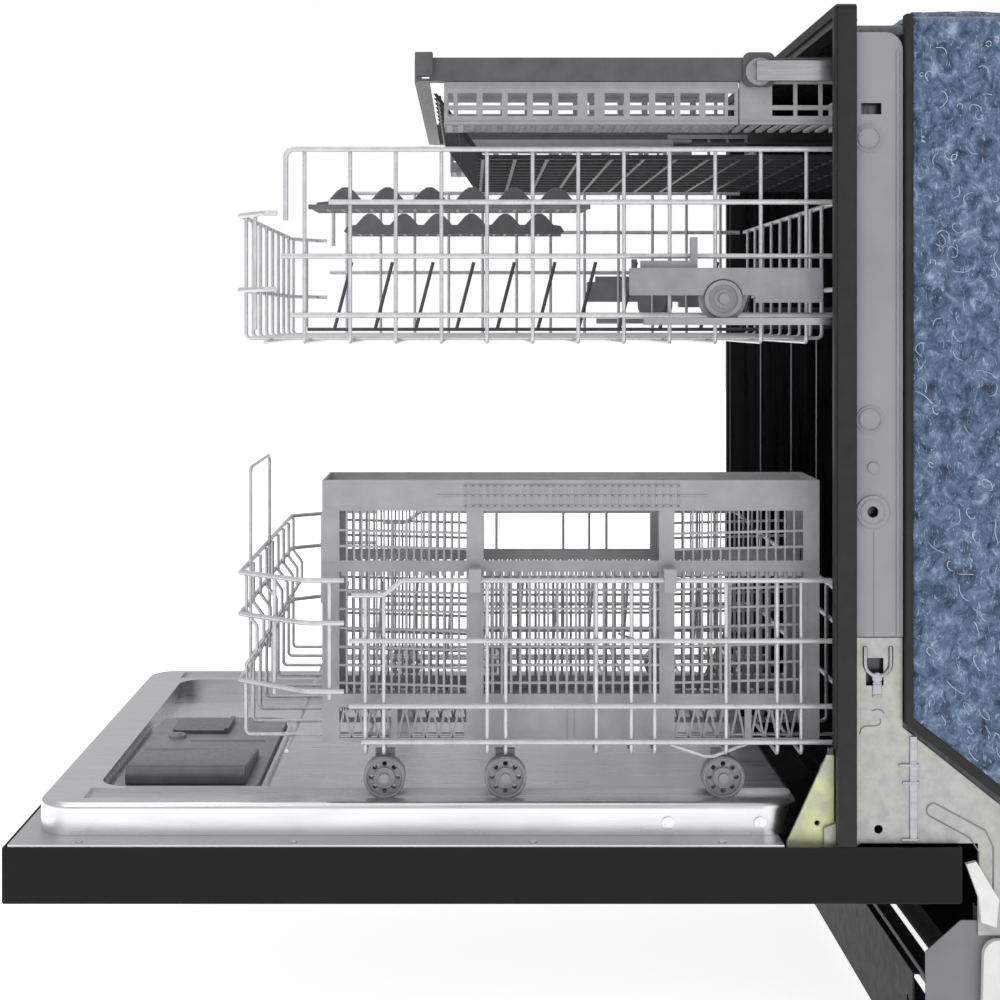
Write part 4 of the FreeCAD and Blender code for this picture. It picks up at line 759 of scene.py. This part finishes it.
def trays_into(bm):
    """The two side trays: windowed walls and a slatted floor."""
    rows = ((773, 778), (781.7, 791.6))
    for x in ((259, 262), (198, 201)):
        window_wall_into(bm, x, (TRAY_FRONT, TRAY_BACK), (TRAY_LOW, TRAY_HIGH), rows, tray_windows())
    for i in range(26):
        at = TRAY_FRONT + 2 + i * 9.2
        box_into(bm, (200, 260), (at, at + 4.4), (TRAY_LOW, TRAY_LOW + 2.6))
    for i in range(5):
        at = 204 + i * 12
        box_into(bm, (at, at + 3), (TRAY_FRONT, TRAY_BACK), (TRAY_LOW + 0.2, TRAY_LOW + 2.4))
    mirror(bm)


def rear_tray_into(bm):
    """The deeper rear end of each side tray, behind the roller carrier."""
    rows = ((773, 778), (781.7, 799), (803, 808.5))
    spans = [(-66 + i * 20.4, -66 + i * 20.4 + 17.5) for i in range(1, 4)]
    window_wall_into(bm, (259, 262), (TRAY_BACK + 1, 16), (TRAY_LOW, 812), rows, spans)
    box_into(bm, (198, 262), (13, 16), (TRAY_LOW, 790))
    for i in range(8):
        at = TRAY_BACK + 4 + i * 10
        box_into(bm, (200, 260), (at, at + 4.4), (TRAY_LOW, TRAY_LOW + 2.4))
    mirror(bm)


def roller_faces_into(bm):
    """A raised ring, a hub and a ring of beads on each third-rack roller."""
    centre = (-57, 808)
    lathe_into(bm, "x", centre, [(270.95, 10.2), (271.6, 9.6), (271.6, 7.6), (271.2, 7.2)])
    lathe_into(bm, "x", centre, [(270.95, 3.9), (272.6, 3.4), (272.9, 2.4)])
    for i in range(16):
        angle = 2 * math.pi * i / 16
        at = (centre[0] + 8.6 * math.cos(angle), centre[1] + 8.6 * math.sin(angle))
        lathe_into(bm, "x", at, [(271.4, 0.62), (271.9, 0.5), (272.1, 0.2)], 8)
    mirror(bm)


# ---------------------------------------------------------------- upper rack

SHELF_LOW, SHELF_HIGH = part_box("cup_shelf_right")
SHELF_FRONT = (SHELF_LOW.y - TRIM_FACE) / MM
SHELF_BACK = (SHELF_HIGH.y - TRIM_FACE) / MM
SHELF_PEAKS = [SHELF_FRONT + 28 + i * 35.9 for i in range(6)]


def shelf_into(bm, side):
    """A cup shelf: a ribbed deck whose inner rail rises in points that hold stems."""
    floor = SHELF_LOW.z / MM
    outline = [(SHELF_FRONT, floor + 3), (SHELF_FRONT + 4, floor + 9)]
    for peak in SHELF_PEAKS:
        tip = floor + 22
        outline += [(peak - 15, floor + 10), (peak - 7, tip - 3), (peak - 2.4, tip)]
        outline += [(peak + 2.4, tip), (peak + 7, tip - 3), (peak + 15, floor + 10)]
    outline += [(SHELF_BACK - 4, floor + 9), (SHELF_BACK, floor + 3), (SHELF_BACK - 5, floor)]
    outline += [(SHELF_FRONT + 5, floor)]
    prism_into(bm, "x", (185.5, 188), outline)
    for peak in SHELF_PEAKS:
        for at in (peak - 12, peak, peak + 12):
            box_into(bm, (186, 238), (at - 1.4, at + 1.4), (floor + 0.5, floor + 4))
    for x in (196, 210, 224):
        box_into(bm, (x, x + 2.4), (SHELF_FRONT + 3, SHELF_BACK - 3), (floor + 0.5, floor + 3.6))
    box_into(bm, (236, 239), (SHELF_FRONT + 1, SHELF_BACK - 1), (floor, floor + 4))
    if side < 0:
        for vert in bm.verts:
            vert.co.x = -vert.co.x


# ---------------------------------------------------------------- hinges and side details


def fork_into(bm):
    """The horseshoe clip, its ribbed latch, the raised rib and the small tabs on each hinge plate."""
    centre = (33.4, 336)
    bow = [(23.2, 349)] + arc(centre, 10.2, 180, 360, 14) + [(43.6, 349)]
    tube_into(bm, [spot(290.6, a, b) for a, b in bow], 1.9 * MM, 8)
    lathe_into(bm, "x", (32.7, 324.5), [(289.8, 4.6), (291.6, 4.2), (292.2, 2.6)], 20)
    box_into(bm, (289.8, 291.2), (29.2, 36.4), (308.5, 321))
    for level in (309.5, 317.6):
        box_into(bm, (291.0, 291.8), (29.6, 36), (level, level + 1.6))
    box_into(bm, (289.8, 291.6), (58.6, 64.4), (196, 278))
    for level, reach in ((254, 8), (240, 5), (195, 6)):
        box_into(bm, (289.8, 292), (58 - reach, 66), (level, level + 2.2))
    mirror(bm)


def pressed_into(bm):
    """Narrow dark lines proud of the plate: a hook by the clip, a long loop down the slant."""
    hook = [(28.7, 297.9), (33, 299.2), (36.6, 298.4), (38.4, 296)]
    tongue = [(35.3, 291.8), (35.6, 288.4), (32.8, 286.2), (22.6, 285.8), (20, 283.6), (19, 279.7)]
    loop = [(124.9, 141), (124.9, 190), (118.8, 203)] + arc((77.5, 219.2), 5.4, 62, 235, 8)
    loop += [(106.5, 197.4), (113.7, 186), (113.7, 163.3)]
    for line in (hook, tongue):
        tube_into(bm, [spot(290.1, a, b) for a, b in line], 0.75 * MM, 6, 0.6)
    tube_into(bm, [spot(290.1, a, b) for a, b in loop], 0.95 * MM, 6, 0.6)
    mirror(bm)


def band_marks_into(bm):
    """Raised rings round the side channel's bosses, and a line between two of them."""
    for centre, radius in (((26, 752), 8.6), ((27, 529), 8.6), ((29, 456), 9.6)):
        ring = [spot(293.2, a, b) for a, b in arc(centre, radius, 0, 352, 40)]
        tube_into(bm, ring, 0.45 * MM, 6)
    tube_into(bm, [spot(291.6, 30, z) for z in (357, 440)], 0.5 * MM, 6)
    mirror(bm)


def spring_into(bm):
    """A close-wound coil with a hook at each end, along the base on both sides."""
    turns, steps = 46, 14
    low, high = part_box("door_springs")
    middle = (low.z + high.z) / 2 / MM
    front, rear = (low.y - TRIM_FACE) / MM, (high.y - TRIM_FACE) / MM
    points = []
    for i in range(turns * steps + 1):
        angle = 2 * math.pi * i / steps
        at = front + 14 + (rear - front - 28) * i / (turns * steps)
        points.append(spot(293 + 3.3 * math.cos(angle), at, middle + 3.3 * math.sin(angle)))
    tube_into(bm, points, 0.9 * MM, 6)
    for start, end in ((front, front + 15), (rear - 15, rear)):
        tube_into(bm, [spot(293, start, middle), spot(293, end, middle + 1.5)], 0.9 * MM, 6)
    mirror(bm)


def tub_ribs_into(bm):
    """Upright stiffening ribs on the tub's side and back walls."""
    for behind in (34, 68, 96, 150, 210, 270, 330, 390, 450, 510):
        tube_into(bm, [spot(280.2, behind, 262), spot(280.2, behind, 590)], 1.6 * MM, 8)
    mirror(bm)
    for x in (-220, -150, -80, 80, 150, 220):
        tube_into(bm, [spot(x, 548.2, 250), spot(x, 548.2, 800)], 2.0 * MM, 8)


# ---------------------------------------------------------------- door details


def bezel_into(bm):
    """The pressed steel frame that the dispenser sits in."""
    low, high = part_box("dispenser_housing")
    x = (low.x / MM, high.x / MM)
    y = ((low.y - TRIM_FACE) / MM, (high.y - TRIM_FACE) / MM)
    corner = 18
    ring = []
    for centre, start in (
        ((x[1] - corner, y[1] - corner), 0),
        ((x[0] + corner, y[1] - corner), 90),
        ((x[0] + corner, y[0] + corner), 180),
        ((x[1] - corner, y[0] + corner), 270),
    ):
        ring += arc(centre, corner + 2.4, start, start + 90, 8)
    ring.append(ring[0])
    tube_into(bm, [spot(a, b, 207.2) for a, b in ring], 3.2 * MM, 10)


def filler_into(bm):
    """The round indicator button and the moulded line between the two lids."""
    lathe_into(bm, "z", (22, -566), [(213, 8.5), (216.6, 8.2), (217.6, 7.0), (217.6, 5.6), (216.8, 5.2)])
    lathe_into(bm, "z", (22, -566), [(216.6, 4.4), (218, 3.8), (218.4, 2.2)])
    box_into(bm, (36, 37.4), (-552, -482), (213.2, 215))


def lid_into(bm):
    """The detergent lid: thick and rounded at its near edge, thinning towards its far edge."""
    low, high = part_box("detergent_lid")
    near, far, foot = high.x / MM, low.x / MM, low.z / MM
    front, rear = (low.y - TRIM_FACE) / MM, (high.y - TRIM_FACE) / MM
    rise = 15
    outline = [(far, foot), (far, foot + 6), (far + 4, foot + 9)]
    outline += arc((near - 9, foot + rise - 9), 9, 90, 0, 8) + [(near, foot + 1.5), (near - 1.5, foot)]
    prism_into(bm, "y", (front, rear), outline)


def rack_corners_into(bm):
    """Moulded corners that close the gap between the third rack's front rail and its side rails."""
    low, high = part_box("third_rack_frame")
    side, top = high.x / MM, high.z / MM
    front = (low.y - TRIM_FACE) / MM
    box_into(bm, (side - 14, side - 0.4), (front + 0.6, front + 15), (top - 19, top - 0.4))
    mirror(bm)


def axle_ends_into(bm):
    """The bright pin ends in the wheels of the lower rack."""
    for index in range(1, 5):
        low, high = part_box(f"wheel_pair_{index}")
        centre = (((low.y + high.y) / 2 - TRIM_FACE) / MM, (low.z + high.z) / 2 / MM)
        face = high.x / MM
        lathe_into(bm, "x", centre, [(face - 3, 3.4), (face + 1.4, 3.2), (face + 2.2, 2.2)], 20)
    mirror(bm)


def tyre_ribs_into(bm, index):
    """A raised ring near the tread and one near the hub on one pair of wheels."""
    low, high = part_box(f"wheel_pair_{index}")
    centre = (((low.y + high.y) / 2 - TRIM_FACE) / MM, (low.z + high.z) / 2 / MM)
    face = high.x / MM
    for radius, thick in ((15.6, 1.0), (7.7, 0.8)):
        ring = [spot(face + 0.1, a, b) for a, b in arc(centre, radius, 0, 360, 40)]
        tube_into(bm, ring, thick * MM, 8)
    mirror(bm)


def guard_wire_into(bm):
    """The bent wire over the third pair of wheels."""
    line = [(-127, 263.4), (-120, 260.5), (-100, 253.6), (-92, 253.4), (-72, 261), (-65, 263.4)]
    tube_into(bm, [spot(254.5, a, b) for a, b in line], 1.5 * MM, 8)
    mirror(bm)


def make_details():
    """Every detailed piece, with the body it rides on and the CAD nodes it stands for."""
    piece("basket_lattice", basket_into, "basket", "basket", ["cutlery_basket"])
    make_felt()
    piece("side_trays", trays_into, "tray", "third_rack", ["third_rack_trays"])
    piece("rear_trays", rear_tray_into, "tray", "third_rack")
    piece("roller_faces", roller_faces_into, "grey", "third_rollers")
    for name, side in (("left", -1), ("right", 1)):
        piece(
            f"cup_shelf_detail_{name}",
            lambda bm: shelf_into(bm, side),
            "shelf",
            f"cup_shelf_{name[0]}",
            [f"cup_shelf_{name}"],
            bevel=0.4,
        )
    piece("hinge_forks", fork_into, "rail", "chassis", bevel=0.3)
    piece("pressed_lines", pressed_into, "shadow", "chassis")
    piece("band_rings", band_marks_into, "side_band", "chassis")
    piece("coil_springs", spring_into, "bright", "chassis", ["door_springs"])
    piece("tub_ribs", tub_ribs_into, "rib", "chassis")
    piece("dispenser_bezel", bezel_into, "bright", "chassis")
    piece("dispenser_marks", filler_into, "grey", "chassis", bevel=0.3)
    piece("detergent_lid_shell", lid_into, "lid", "soap_lid", ["detergent_lid"], bevel=1.6)
    piece("third_rack_corners", rack_corners_into, "band", "third_rack", bevel=0.8)
    piece("axle_ends", axle_ends_into, "bright", "lower_rack")
    for index in range(1, 5):
        name = f"wheel_rims_{index}"
        piece(name, lambda bm: tyre_ribs_into(bm, index), "wheel", f"wheels_{index}")
    piece("guard_wire", guard_wire_into, "wire", "lower_rack")


make_camera()
make_studio()
dress_nodes()
make_details()
